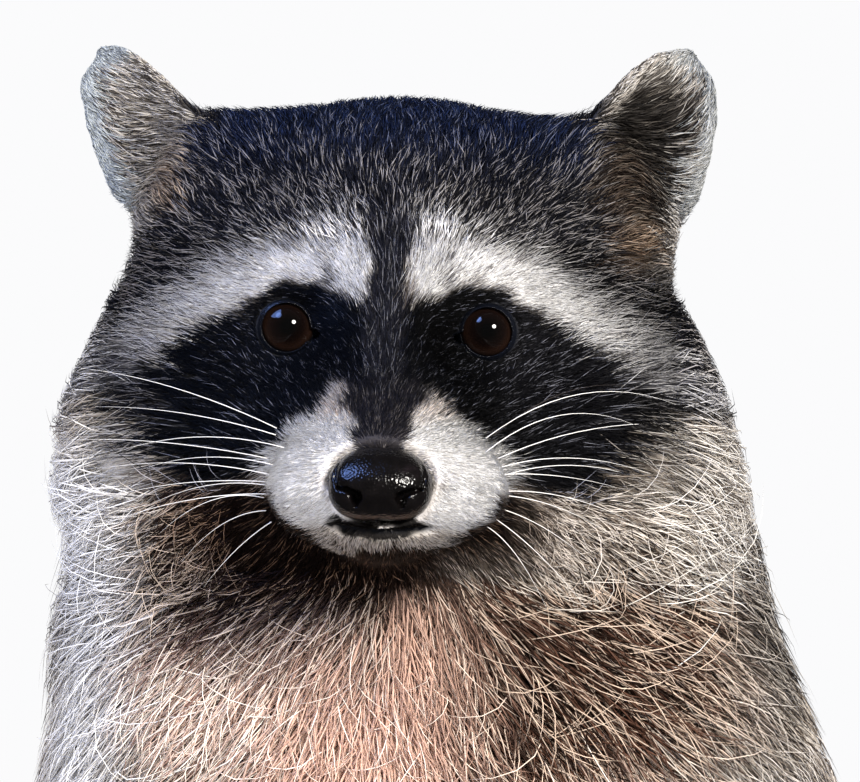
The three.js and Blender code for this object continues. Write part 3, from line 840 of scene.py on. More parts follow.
class Surface:
    """A triangle mesh as arrays, with averaging between neighbours."""

    def __init__(self, mesh: bpy.types.Mesh) -> None:
        """Reads a mesh.

        Args:
            mesh: Mesh whose faces may have any number of corners.
        """
        mesh.calc_loop_triangles()
        self.points = self.rows(mesh.vertices, "co", np.float32, 3).astype(float)
        self.triangles = self.rows(mesh.loop_triangles, "vertices", np.int32, 3)
        self.edges = self.rows(mesh.edges, "vertices", np.int32, 2)
        self.degree = np.maximum(np.bincount(self.edges.ravel(), minlength=len(self.points)), 1)

    @staticmethod
    def rows(items: bpy.types.bpy_prop_collection, field: str, kind: type, width: int) -> Array:
        """Reads a field of every item.

        Args:
            items: Vertices, edges or faces.
            field: Name of what to read.
            kind: Type of its numbers.
            width: How many numbers an item has.

        Returns:
            The numbers, a row for each item.
        """
        values = np.empty(len(items) * width, kind)
        items.foreach_get(field, values)
        return values.reshape(-1, width)

    def average(self, values: Array, passes: int, weight: Array | float = 0.6) -> Array:
        """Spreads values over the surface.

        Args:
            values: A row or a number for each vertex.
            passes: How many times.
            weight: How far each vertex goes to its neighbours' mean, one number or one each.

        Returns:
            The spread values.
        """
        flat = values.reshape(len(values), -1).astype(float).copy()
        share = np.broadcast_to(np.asarray(weight, float).reshape(-1, 1), (len(flat), 1))
        a, b = self.edges.T
        for _ in range(passes):
            for column in range(flat.shape[1]):
                own = flat[:, column]
                total = np.bincount(a, own[b], len(own)) + np.bincount(b, own[a], len(own))
                flat[:, column] = own + share[:, 0] * (total / self.degree - own)
        return flat.reshape(values.shape)

    def normals(self) -> Array:
        """Works out the normals.

        Returns:
            A normal for each vertex, weighted by the area of its faces.
        """
        corners = self.points[self.triangles]
        faces = np.cross(corners[:, 1] - corners[:, 0], corners[:, 2] - corners[:, 0])
        total = np.zeros_like(self.points)
        for corner in self.triangles.T:
            for column in range(3):
                total[:, column] += np.bincount(corner, faces[:, column], len(total))
        return unit(total)


@dataclass
class Skin:
    """The animal's one skin, cast over the flesh and sunk below the coat's surface.

    Tables by part follow the order of Part. Tables of two rows pair places with values.
    """

    stance: Stance
    voxel: float = 1.7 * MM
    swell: float = 0.45 * MM
    most: int = 96000
    eye_radius: float = 7.3
    eye_apart: float = 46.0
    lid: float = 1.1
    lift: float = 0.78
    sinks: int = 4
    finer_near: tuple = (13, 9.5, 8.2)
    # share of the way to its neighbours that rounding moves each part's surface
    softness: tuple = (0.5, 0.35, 0.18, 0.6, 0.6, 0.6, 0.55, 0.6, 0.12, 0.12)
    # mm that each cheek stands out beyond its solid, by height
    left_cheek: tuple = (
        (-90, -76, -64, -56, -46, -36, -25, -10, -4, 0, 6, 14, 20, 24, 30),
        (-0.5, -3.0, -4.0, -3.0, 0, 1.0, 1.0, 1.6, 0.6, 0, -2.6, -4.0, -2.2, 0, 0),
    )
    right_cheek: tuple = (
        (-120, -105, -90, -76, -60, -50, -46, -40, -34, -26, -20, -14, 4, 12, 22, 30),
        (-2.0, -2.0, 1.5, 4.9, 4.8, 2.2, 3.4, 3.6, 2.4, 1.6, 3.2, 2.2, 0.5, -1.0, -2.4, 0),
    )
    # lengths of the coat in mm: by part, from the nose outwards, up the legs; and its depth
    nose: tuple = (0, -54, -36)
    part_lengths: tuple = (8.0, 5.0, 5.0, 30.0, 36.0, 34.0, 26.0, 34.0, 5.5, 6.5)
    face_lengths: tuple = ((0, 12, 30, 48, 62, 85, 120), (1.8, 2.8, 4.2, 5.2, 6.2, 8.5, 14.0))
    foreleg_lengths: tuple = ((15, 60, 120, 200), (7, 11, 17, 28))
    hindleg_lengths: tuple = ((10, 40, 90), (9, 20, 34))
    depth_of_length: tuple = ((1.8, 3, 5, 8, 14, 26, 38), (0.5, 0.8, 1.3, 2.2, 4.0, 8.0, 12.0))
    mouth_height: float = -36.5
    mouth_fall: float = 12.0
    # near-black skin of bare lids and lip crease, tinted blue as a painted sky reflection on the
    # wet rims
    rim: str = "#0b0d13"

    def build(self) -> None:
        """Makes the skin's surface and every field that the coat reads from it."""
        flesh, owners = self.gather()
        mesh = self.cast(flesh)
        tree = BVHTree.FromBMesh(flesh)
        mesh = self.thin(mesh, tree, owners)
        mesh = self.refine(mesh)
        surface = Surface(mesh)
        self.parts = self.owner_of(surface.points, tree, owners)
        flesh.free()
        self.settle(surface)
        self.fill_out(surface)
        self.outer = surface.points.copy()
        self.measure(surface)
        self.sink(surface)
        self.shape_face(surface)
        self.surface = surface
        self.normals = surface.normals()
        self.ways = self.comb(surface)

    def gather(self) -> tuple[bmesh.types.BMesh, list[int]]:
        """Collects the flesh's solids, each swollen a little so that the cuts between them close.

        Returns:
            All of them in one mesh, and the part that each face belongs to.
        """
        flesh, owners = bmesh.new(), []
        for number, part in enumerate(PARTS):
            for node in part.value:
                solid = bmesh.new()
                solid.from_mesh(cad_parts[node].data)
                bmesh.ops.remove_doubles(solid, verts=solid.verts, dist=1e-6)
                solid.normal_update()
                for vert in solid.verts:
                    vert.co += vert.normal * self.swell
                loose = from_bmesh(solid, "flesh")
                flesh.from_mesh(loose)
                owners += [number] * (len(flesh.faces) - len(owners))
                bpy.data.meshes.remove(loose)
        flesh.faces.ensure_lookup_table()
        return flesh, owners

    def cast(self, flesh: bmesh.types.BMesh) -> bpy.types.Mesh:
        """Lays one closed skin of small squares over the flesh.

        Args:
            flesh: The solids.

        Returns:
            The skin.
        """
        mesh = bpy.data.meshes.new("cast")
        flesh.to_mesh(mesh)
        return self.modified(mesh, "REMESH", {"mode": "VOXEL", "voxel_size": self.voxel})

    @staticmethod
    def modified(
        mesh: bpy.types.Mesh, kind: str, settings: Settings, weights: Array | None = None
    ) -> bpy.types.Mesh:
        """Runs a modifier on a mesh.

        Args:
            mesh: Mesh to change; it's removed.
            kind: Kind of modifier.
            settings: Its properties.
            weights: Weight for each vertex, kept as the vertex group "keep".

        Returns:
            The finished mesh.
        """
        holder = show("holder", mesh)
        if weights is not None:
            group = holder.vertex_groups.new(name="keep")
            levels = np.round(weights * 10).astype(int)
            for level in np.unique(levels).tolist():
                group.add(np.nonzero(levels == level)[0].tolist(), level / 10, "REPLACE")
        modifier = holder.modifiers.new(kind.lower(), kind)
        for key, value in settings.items():
            setattr(modifier, key, value)
        graph = bpy.context.evaluated_depsgraph_get()
        result = bpy.data.meshes.new_from_object(holder.evaluated_get(graph))
        bpy.data.objects.remove(holder)
        bpy.data.meshes.remove(mesh)
        return result

    @staticmethod
    def owner_of(points: Array, tree: BVHTree, owners: list[int]) -> Array:
        """Finds the part that each place is nearest to."""
        return np.array([owners[tree.find_nearest(Vector(p))[2]] for p in points])

    def thin(self, mesh: bpy.types.Mesh, tree: BVHTree, owners: list[int]) -> bpy.types.Mesh:
        """Leaves fewer faces where the body is broad and plain, and all on face, ears and feet.

        Args:
            mesh: The cast skin.
            tree: The flesh's faces, to search.
            owners: The part of each of them.

        Returns:
            The lighter skin.
        """
        surface = Surface(mesh)
        on = on_parts(self.owner_of(surface.points, tree, owners))
        head = self.stance.to_head(surface.points)
        small = on[Part.EAR] | on[Part.FOREFOOT] | on[Part.HINDFOOT] | on[Part.JAW]
        fine = np.maximum(small, on[Part.HEAD] * ramp(40, 10, head[:, 1]))
        coarse = 1 - np.clip(surface.average(fine, 4) * 1.6, 0, 1)
        ratio = min(1.0, self.most / len(surface.triangles))
        LOG.info("cast skin: %d triangles, kept %.2f", len(surface.triangles), ratio)
        settings = {"ratio": ratio, "vertex_group": "keep", "use_collapse_triangulate": True}
        return self.modified(mesh, "DECIMATE", settings, coarse)

    def refine(self, mesh: bpy.types.Mesh) -> bpy.types.Mesh:
        """Divides the skin round eyes and lips, three times at the lids.

        Args:
            mesh: The lighter skin.

        Returns:
            The finer skin.
        """
        work = bmesh.new()
        work.from_mesh(mesh)
        for level, reach in enumerate(self.finer_near):
            head = self.stance.to_head(np.array([v.co for v in work.verts]))
            near = self.eye_distance(head)
            chosen = (head[:, 1] < 6) & (near < reach)
            if level == 0:
                lips = (head[:, 1] < -22) & (head[:, 2] < -12)
                chosen |= lips
            if level == 2:
                hidden = near <= 4.4
                chosen &= ~hidden
            edges = [e for e in work.edges if chosen[e.verts[0].index] and chosen[e.verts[1].index]]
            bmesh.ops.subdivide_edges(work, edges=edges, cuts=1, use_grid_fill=True)
            bmesh.ops.triangulate(work, faces=[f for f in work.faces if len(f.verts) > 3])
            work.verts.index_update()
        bpy.data.meshes.remove(mesh)
        return from_bmesh(work, "refined")

    def eye_distance(self, head: Array) -> Array:
        """Gives mm to the nearer eye's middle, seen from the front."""
        return np.hypot(np.abs(head[:, 0]) - self.eye_apart / 2, head[:, 2])

    def settle(self, surface: Surface) -> None:
        """Rounds off the facets of the cast.

        Args:
            surface: The skin, still at the coat's surface.
        """
        soft = np.array(self.softness)[self.parts]
        surface.points = surface.average(surface.points, 14, surface.average(soft, 6))

    def fill_out(self, surface: Surface) -> None:
        """Swings the muzzle and spreads the ears to their full outline.

        Args:
            surface: The skin at the coat's surface.
        """
        ears = on_parts(self.parts)[Part.EAR]
        spread = surface.average(ears.astype(float), 6)[:, None]
        head = self.stance.straight(surface.points)
        up, across, _ = Ear.local(head)
        left = head[:, 0] > 0
        taller = np.where(left, 0.02, 0.065) * np.maximum(up, 0)
        outer, inner = np.where(left, 0.26, 0.24), np.where(left, 0.07, -0.22 * ramp(4, 20, up))
        wider = np.where(across > 0, outer, inner) * across
        grown = head + Ear.axes(head, 0) * taller[:, None] + Ear.axes(head, 1) * wider[:, None]
        head = head + (grown - head) * spread
        skull = (1 - spread[:, 0]) * ramp(120, 60, head[:, 1])
        head[:, 2] += 1.6 * ramp(34, 46, head[:, 2]) * skull
        to_left, to_right = [np.interp(head[:, 2], *c) for c in (self.left_cheek, self.right_cheek)]
        cheek = np.where(left, to_left, -to_right) * ramp(36, 60, np.abs(head[:, 0]))
        head[:, 0] += cheek * (1 - spread[:, 0]) * ramp(95, 65, head[:, 1])
        lip = np.where(left, 3.0, -0.8) * ramp(13, 23, np.abs(head[:, 0]))
        lip *= ramp(-5, -22, head[:, 1]) * ramp(-18, -28, head[:, 2]) * ramp(-48, -40, head[:, 2])
        head[:, 0] += lip
        surface.points = self.stance.from_head(head)

    def measure(self, surface: Surface) -> None:
        """Works out the coat at each vertex: its length and depth in mm, and where it is sparse.

        Args:
            surface: The skin at the coat's surface.
        """
        head = self.stance.to_head(surface.points)
        height = self.stance.to_body(surface.points)[:, 2]
        on = on_parts(self.parts)
        x, y, z = np.abs(head[:, 0]), head[:, 1], head[:, 2]
        length = np.array(self.part_lengths)[self.parts]
        face = np.interp(np.linalg.norm(head - self.nose, axis=1), *self.face_lengths)
        face += 13 * ramp(34, 62, x) * ramp(0, -34, z) * ramp(-30, 0, y)
        face += 6 * ramp(40, 90, y)
        face += 7 * ramp(-52, -66, z) * ramp(-30, -10, y)
        length = np.where(on[Part.HEAD] | on[Part.JAW], face, length)
        near = np.where(y < 10, self.eye_distance(head), 99)
        length = np.where(near < 22, length * np.interp(near, (6, 9, 22), (0.25, 0.4, 1.0)), length)
        length = np.where(on[Part.FORELEG], np.interp(height, *self.foreleg_lengths), length)
        length = np.where(on[Part.HINDLEG], np.interp(height, *self.hindleg_lengths), length)
        up, _, out = Ear.local(head)
        rim = np.maximum(ramp(0.62, 0.86, np.abs(Ear.edge(head))), ramp(33, 40, up))
        inside = np.where(out > 0, 8.5, 5.0)
        length = np.where(on[Part.EAR], inside * (1 - rim) + 2.7 * rim, length)
        length = np.where(on[Part.HEAD] & (Ear.hollow(head) > 0.5), 9.0, length)
        sparse = ramp(36, 12, np.abs(head[:, 0] + 2)) * ramp(-62, -76, z) * ramp(30, 5, y)
        self.sparse = sparse * ramp(-190, -150, z) * (on[Part.NECK] | on[Part.TRUNK])
        length = length * (1 - 0.72 * self.sparse)
        self.lengths = surface.average(length, 10, np.where(near < 16, 0.0, 0.6))
        depth = np.interp(self.lengths, *self.depth_of_length)
        depth = np.where(on[Part.EAR], 0.5, depth)
        depth = np.where(on[Part.FOREFOOT] | on[Part.HINDFOOT], 0.9, depth)
        depth = np.where(on[Part.TAIL], depth * 1.15, depth)
        self.depths = surface.average(depth, 14, np.where(near < 14, 0.1, 0.6))

    def sink(self, surface: Surface) -> None:
        """Moves the skin in by the coat's depth.

        Args:
            surface: The skin at the coat's surface.
        """
        for _ in range(self.sinks):
            outward = unit(surface.average(surface.normals(), 3))
            step = self.depths * self.lift / self.sinks * MM
            surface.points = surface.points - outward * step[:, None]
            firm = np.where(self.depths > 3, 0.4, 0.1)
            surface.points = surface.average(surface.points, 1, firm)

    def shape_face(self, surface: Surface) -> None:
        """Raises the lids round the eyes and presses the lips' crease.

        Args:
            surface: The sunk skin.
        """
        head = self.stance.to_head(surface.points)
        x, y, z = np.abs(head[:, 0]), head[:, 1], head[:, 2].copy()
        opening, near = self.eye_opening(head), self.eye_distance(head)
        front = (y < 8) & (near < 15)
        lid = -np.sqrt(np.maximum((self.eye_radius + self.lid) ** 2 - near**2, 3.0))
        inside = -np.sqrt(np.maximum((self.eye_radius - 1.2) ** 2 - near**2, 0.0)) + 0.5
        inside = np.where(near > 6.1, lid + 1.5, inside)
        raised = np.where(y > lid, lid, y)
        raised += (y - raised) * ramp(8.5, 12, near)
        target = inside + (raised - inside) * ramp(0.93, 1.01, opening)
        y = np.where(front, target, y)
        head[:, 1] = y
        lips = self.mouth_height + (y + 12) * math.tan(math.radians(self.mouth_fall))
        crease = np.exp(-((z - lips) ** 2)) * ramp(-18, -26, y) * ramp(16, 9, x)
        surface.points = self.stance.from_head(head)
        surface.points = surface.points - surface.normals() * (crease * 1.8 * MM)[:, None]
        rims = np.where(front, ramp(1.26, 1.12, opening), 0.0)
        self.wet = np.maximum(rims, crease * ramp(-44, -50, y) * 0.25)
        self.bare = np.maximum(ramp(1.30, 1.14, np.where(front, opening, 9.0)), crease > 0.5)

    def eye_opening(self, head: Array) -> Array:
        """Measures places against the opening of the nearer eye: below 1 is within the lids.

        Args:
            head: Head mm.

        Returns:
            A number a place.
        """
        across = np.abs(head[:, 0]) - self.eye_apart / 2
        height = head[:, 2]
        tall = np.where(height > 0, 5.7, 5.6)
        round_part = np.hypot((across - 0.1) / 5.7, height / tall)
        corner = np.hypot((across + 4.7) / 3.2, (height + 1.5) / 1.5)
        return np.minimum(round_part, corner)

    def comb(self, surface: Surface) -> Array:
        """Finds the way that the coat lies at each vertex.

        Args:
            surface: The finished skin.

        Returns:
            Unit vectors along the skin, in the frame.
        """
        head = self.stance.to_head(surface.points)
        body = self.stance.to_body(surface.points)
        on = on_parts(self.parts)
        side = np.sign(head[:, 0])
        rise = ramp(-22, 14, head[:, 2])
        source = np.stack([0 * side, -50 + 34 * rise, -31 + 27 * rise], 1)
        away = unit(head - source)
        away[:, 2] -= 0.30 * ramp(30, 60, np.abs(head[:, 0])) * (1 - rise)
        down = np.array((0.0, 0.35, -1.0))
        late = np.maximum(ramp(30, 80, head[:, 1]), ramp(-95, -170, head[:, 2]))[:, None]
        ways = (away * (1 - late) + down * late) @ self.stance.axes
        for part, way in self.LIE.items():
            ways[on[part]] = way
        chest = on[Part.TRUNK] & (body[:, 1] < -20)
        ways[chest] = (0, 0, -1)
        ways[chest, 0] = 0.35 * side[chest]
        ears = on[Part.EAR] | (on[Part.HEAD] & (Ear.hollow(head) > 0.5))
        hair = head[ears]
        up, _, out = Ear.local(hair)
        slant = np.where(out > 0, 0.75 - 0.5 * ramp(10, 38, up), 0.1)[:, None]
        lie = Ear.axes(hair, 0) * (1 - slant) + Ear.axes(hair, 1) * slant
        ways[ears] = lie @ self.stance.axes
        ways[on[Part.TAIL]] = self.tail_way(body[on[Part.TAIL]])[0]
        normals = unit(surface.average(self.normals, 4))
        for _ in range(4):
            ways = surface.average(along_skin(ways, normals), 8)
        return along_skin(ways, normals)

    LIE = {
        Part.TRUNK: (0.0, 0.45, -0.9),
        Part.FORELEG: (0.0, -0.12, -1.0),
        Part.HINDLEG: (0.0, -0.10, -1.0),
        Part.FOREFOOT: (0.0, -1.0, -0.25),
        Part.HINDFOOT: (0.0, -1.0, -0.25),
    }
    TAIL = (
        (0, 168, 44), (4, 220, 36), (22, 276, 33), (62, 326, 32), (112, 352, 31), (158, 352, 27)
    )

    @classmethod
    def tail_way(cls, body: Array) -> tuple[Array, Array]:
        """Follows the tail.

        Args:
            body: Body mm.

        Returns:
            The tail's direction at each place, and mm along it from its root.
        """
        line = np.array(cls.TAIL, float)
        spans = np.diff(line, axis=0)
        sizes = np.linalg.norm(spans, axis=1)
        starts = np.concatenate([[0], np.cumsum(sizes)[:-1]])
        best = np.full(len(body), 1e9)
        way, along = np.zeros((len(body), 3)), np.zeros(len(body))
        for start, span, size, before in zip(line[:-1], spans, sizes, starts):
            low, high = -0.5 if before == 0 else 0, 1.6 if before == starts[-1] else 1
            t = np.clip((body - start) @ span / size**2, low, high)
            gap = np.linalg.norm(body - start - t[:, None] * span, axis=1)
            closer = gap < best
            best = np.where(closer, gap, best)
            way[closer] = span / size
            along = np.where(closer, before + t * size, along)
        return way, along

    def dress(self, markings: Markings) -> bpy.types.Object:
        """Colours the skin and puts it in the scene.

        Args:
            markings: Colours by place.

        Returns:
            The piece.
        """
        surface = self.surface
        mesh = new_mesh("skin", surface.points, surface.triangles)
        _, along = self.tail_way(self.stance.to_body(surface.points))
        field = markings.field(self.outer, self.parts, along)
        main, pale, root_tone_and_shade = field[:, 0:3], field[:, 3:6], field[:, 11:12]
        # skin between tufts darker than the hair: darker skin and painted shade under the coat
        colours = main * (0.38 + 0.57 * root_tone_and_shade) + pale * 0.08
        # bare lids and the lip crease take the rim colour: dark skin tinted with a painted blue
        # reflection
        rim = np.array(linear(self.rim)[:3])
        colours += (rim - colours) * np.clip(np.maximum(self.wet, self.bare), 0, 1)[:, None]
        add_colours(mesh, colours)
        add_values(mesh, "wet", self.wet)
        nodes = [n for part in PARTS for n in part.value]
        return put_in(mesh, HideFinish().make(), "body_fur", *nodes)


# ---------------------------------------------------------------- coat


@dataclass(frozen=True)
class Zone:
    """One piece of the coat: what it is made of and how its tufts stand.

    Rings is 1 for straight spikes, 2 for one bend, 3 for two and 5 for a smooth bow. Cover
    is how many times the tufts hide the skin. Turn and curl are in degrees, clumps in mm.
    Pale tufts are wider than the others by the factor bold.
    """

    name: str
    slot: str
    rings: int
    cover: float
    turn: float
    curl: float
    clump: float
    pull: float
    stretch: float = 1.0
    stand: float = 1.0
    fine: float = 1.0
    pale: float = 0.0
    tip_only: float = 0.35
    bold: float = 1.0


ZONES = (
    Zone("coat_muzzle", "face_fur", 1, 2.1, 9, 0, 1.6, 0.20),
    Zone("coat_mask", "face_fur", 1, 3.0, 14, 0, 2.2, 0.25, fine=0.85, bold=0.95),
    Zone(
        "coat_forehead", "face_fur", 2, 3.5, 13, 10, 2.2, 0.30,
        stretch=0.85, fine=0.60, tip_only=0.85, bold=1.15,
    ),
    Zone(
        "coat_crown", "face_fur", 2, 3.0, 14, 12, 3.0, 0.35,
        stretch=0.9, fine=0.70, tip_only=0.9, bold=1.1,
    ),
    Zone("coat_cheek_left", "face_fur", 3, 4.3, 15, 18, 3.5, 0.30, fine=0.62),
    Zone("coat_cheek_right", "face_fur", 3, 4.3, 15, 18, 3.5, 0.30, fine=0.62),
    Zone("coat_ears", "ear_fur", 2, 1.9, 10, 10, 2.0, 0.20, fine=0.92),
    Zone("coat_chest", "chest_fur", 3, 4.6, 13, 18, 4.0, 0.25, fine=0.55),
    Zone("coat_nape", "chest_fur", 2, 2.8, 12, 14, 6.0, 0.36, fine=0.85),
    Zone("coat_back", "body_fur", 2, 2.5, 11, 14, 9.0, 0.40),
    Zone("coat_foreleg", "body_fur", 2, 1.75, 11, 12, 5.0, 0.32, fine=1.2),
    Zone("coat_hindleg", "body_fur", 2, 2.1, 11, 14, 8.0, 0.36),
    Zone("coat_feet", "paw_fur", 1, 1.25, 8, 0, 2.0, 0.15, fine=1.2),
    Zone("coat_tail", "tail_fur", 2, 3.4, 11, 12, 8.0, 0.36),
)
GUARD = Zone(
    "coat_guard_hairs", "chest_fur", 5, 0.40, 32, 26, 1.0, 0.0,
    stretch=1.15, stand=1.15, fine=0.40, pale=0.88, tip_only=0.0,
)


# for each number of rings: where along a tuft they are, and how thick it is there
SPIKES = {
    1: ((0.0,), (1.0,)),
    2: ((0.0, 0.52), (0.75, 1.0)),
    3: ((0.0, 0.34, 0.68), (0.8, 1.0, 0.62)),
    5: ((0.0, 0.24, 0.44, 0.64, 0.83), (0.8, 1.0, 0.9, 0.7, 0.42)),
}


@dataclass(frozen=True)
class Tufts:
    """Tufts of one piece, a row each: where they leave the skin, bend and end, the skin's
    normals at the root and under the bend, widths, and colours of root, middle and tip."""

    roots: Array
    middle: Array
    tips: Array
    normals: Array
    lifted: Array
    width: Array
    colours: Array


@dataclass
class Coat:
    """The coat: thousands of solid tufts, rooted in the skin and lying along it."""

    skin: Skin
    markings: Markings
    seed: int = 7
    guard_seed: int = 99
    clear: float = 0.6
    stray: float = 0.32
    farthest: float = 11.0
    length_spread: tuple = (0.72, 1.25)
    width_spread: tuple = (0.75, 1.25)
    height_spread: tuple = (0.55, 1.12)
    tone_spread: tuple = (0.78, 1.22)
    # waves that turn the coat: length in mm, seed, degrees
    swirls: tuple = ((30, 21, 7), (9, 22, 6))
    # mm of width for mm of length: on face and neck, and on body and limbs
    fine_widths: tuple = ((1.8, 5, 8, 14, 28), (0.25, 0.30, 0.36, 0.48, 0.66))
    broad_widths: tuple = ((5, 10, 20, 34), (0.48, 0.72, 1.05, 1.4))
    # each tuft's patch on the map, and the notch for its ridge
    patch: float = 0.003
    notch: float = 0.0004

    def build(self) -> None:
        """Makes every piece of the coat."""
        self.finish = HairFinish().make()
        surface = self.skin.surface
        self.tree = search_tree(surface.points)
        corners = surface.points[surface.triangles] / MM
        sides = corners[:, 1:] - corners[:, :1]
        self.areas = 0.5 * np.linalg.norm(np.cross(sides[:, 0], sides[:, 1]), axis=1)
        self.place_zones()
        for number, zone in enumerate(ZONES):
            rng = np.random.default_rng((self.seed, number))
            self.grow(zone, self.zone_of == number, rng)
        self.grow(GUARD, self.guarded, np.random.default_rng((self.seed, self.guard_seed)))

    def place_zones(self) -> None:
        """Says which zone each vertex of the skin is in, and how wide its tufts are."""
        skin = self.skin
        head = skin.stance.to_head(skin.outer)
        body = skin.stance.to_body(skin.outer)
        x, y, z = head.T
        on = on_parts(skin.parts)
        names = [zone.name for zone in ZONES]
        zone_of = np.full(len(head), names.index("coat_back"))
        skull = on[Part.HEAD] | on[Part.JAW]
        chest = on[Part.NECK] & (y < 42)

        def put(name: str, mask: Array) -> None:
            zone_of[mask] = names.index(name)

        put("coat_crown", skull)
        put("coat_forehead", skull & (y < 34) & (z > 20))
        low = skull & ((z < -38 - 0.1 * y) | (np.abs(x) > 66) | (y > 22)) & (z < 6 + 0.1 * y)
        put("coat_cheek_left", low & (x > 0))
        put("coat_cheek_right", low & (x <= 0))
        put("coat_mask", skull & ~low & (z <= 20) & (y < 34))
        put("coat_muzzle", skull & (np.abs(x) < 34) & (y < 2) & (z < -14) & (z > -56))
        put("coat_nape", on[Part.NECK])
        put("coat_chest", chest | (on[Part.TRUNK] & (body[:, 1] < -10) & (body[:, 2] > 190)))
        put("coat_ears", on[Part.EAR] | (skull & (Ear.hollow(head) > 0.5)))
        put("coat_foreleg", on[Part.FORELEG])
        put("coat_hindleg", on[Part.HINDLEG])
        put("coat_feet", on[Part.FOREFOOT] | on[Part.HINDFOOT])
        put("coat_tail", on[Part.TAIL])
        self.zone_of = zone_of
        width = np.interp(skin.lengths, *self.fine_widths)
        width = np.where(chest, 0.8, np.where(on[Part.NECK], 1.2, width))
        body_or_limb = ~(skull | on[Part.NECK] | on[Part.EAR])
        width = np.where(body_or_limb, np.interp(skin.lengths, *self.broad_widths), width)
        width = np.where(on[Part.EAR], np.maximum(width, 0.33), width)
        self.widths = skin.surface.average(width, 8)
        guarded = (chest & (y < 25)) | low | (on[Part.FORELEG] & (body[:, 2] > 205))
        self.guarded = guarded & (z < -34) & ((np.abs(x) > 36) | (z < -68))

    def grow(self, zone: Zone, inside: Array, rng: np.random.Generator) -> None:
        """Makes one piece of the coat.

        Args:
            zone: What to make.
            inside: Which vertices of the skin it grows on.
            rng: Its own seeded random numbers.
        """
        skin, surface = self.skin, self.skin.surface
        triangles = surface.triangles
        lengths, widths = skin.lengths * zone.stretch, self.widths * zone.fine
        density = zone.cover / (0.5 * widths * lengths) * inside
        density *= (1 - np.clip(skin.bare, 0, 1)) * (1 - 0.6 * skin.sparse)
        weight = self.areas * density[triangles].mean(1)
        total = np.cumsum(weight)
        count = int(total[-1])
        spots = (np.arange(count) + rng.random(count)) * (total[-1] / count)
        chosen = np.minimum(np.searchsorted(total, spots), len(total) - 1)
        share = rng.dirichlet((1.0, 1.0, 1.0), count)
        corner = triangles[chosen]

        def at(values: Array) -> Array:
            return (values[corner] * (share[:, :, None] if values.ndim == 2 else share)).sum(1)

        roots, normals, ways = at(surface.points), unit(at(skin.normals)), unit(at(skin.ways))
        length = at(lengths) * rng.uniform(*self.length_spread, count) * MM
        width = at(widths) * rng.uniform(*self.width_spread, count) * MM
        height = at(skin.depths) * zone.stand * rng.uniform(*self.height_spread, count) * MM
        swirl = sum(drift(roots / MM, *wave) * degrees for *wave, degrees in self.swirls)
        turn = np.radians(swirl + rng.normal(0, zone.turn, count))
        curl = np.radians(rng.normal(0, zone.curl, count))
        first, lifted, way, _ = self.walk(roots, ways, normals, turn, length * 0.5)
        second, upright, _, near = self.walk(first, way, lifted, turn * 0.7 + curl, length * 0.5)
        middle = first + lifted * (height * 0.72)[:, None]
        tips = second + upright * height[:, None]
        if zone.pull:
            tips = self.gather_tips(roots, tips, zone, rng)
        for places in (middle, tips):
            places[:, 2] = np.maximum(places[:, 2], self.clear * MM)
        along = (tips - roots) * np.minimum(1, self.farthest * MM / length)[:, None]
        seen = (middle + tips) / 2 + along * rng.normal(0, self.stray, count)[:, None]
        colours, light = self.colour(zone, seen, skin.parts[near], rng)
        width = width * np.where(light, zone.bold, 1.0)
        tufts = Tufts(roots, middle, tips, normals, lifted, width, colours)
        put_in(self.weave(zone, tufts), self.finish, zone.slot)

    def walk(
        self, start: Array, ways: Array, normals: Array, turn: Array, step: Array
    ) -> tuple[Array, Array, Array, Array]:
        """Goes along the skin, as a hair does.

        Args:
            start: Places on the skin.
            ways: The coat's direction there.
            normals: The skin's normals there.
            turn: Angles to the side, in radians.
            step: How far to go, in metres.

        Returns:
            The new places, with the skin's normal, the coat's direction and the vertex there.
        """
        skin = self.skin
        across = np.cross(normals, ways)
        way = ways * np.cos(turn)[:, None] + across * np.sin(turn)[:, None]
        ahead = start + way * step[:, None]
        near = nearest(self.tree, ahead)
        normal = skin.normals[near]
        gap = ((ahead - skin.surface.points[near]) * normal).sum(1)
        ahead = ahead - normal * gap[:, None]
        onward = along_skin(unit(0.5 * way + 0.5 * skin.ways[near]), normal)
        return ahead, normal, onward, near

    def gather_tips(self, roots: Array, tips: Array, zone: Zone, rng: np.random.Generator) -> Array:
        """Draws the tips of neighbours together into locks.

        Args:
            roots: Roots of the tufts.
            tips: Their tips.
            zone: Says how big the locks are and how hard they pull.
            rng: Random numbers.

        Returns:
            The tips, moved.
        """
        span = max(2, len(roots))
        area = np.prod(np.ptp(roots, axis=0) + MM) ** (2 / 3) / MM**2
        locks = max(2, min(span, int(area * 1.6 / zone.clump**2)))
        seeds = rng.choice(span, locks, replace=False)
        group = nearest(search_tree(roots[seeds]), roots)
        size = np.maximum(np.bincount(group, minlength=len(seeds)), 1)[:, None]
        centre = np.stack([np.bincount(group, tips[:, k], len(seeds)) for k in range(3)], 1) / size
        pull = zone.pull * rng.uniform(0.3, 1.5, len(roots))
        return tips + (centre[group] - tips) * np.clip(pull, 0, 0.9)[:, None]

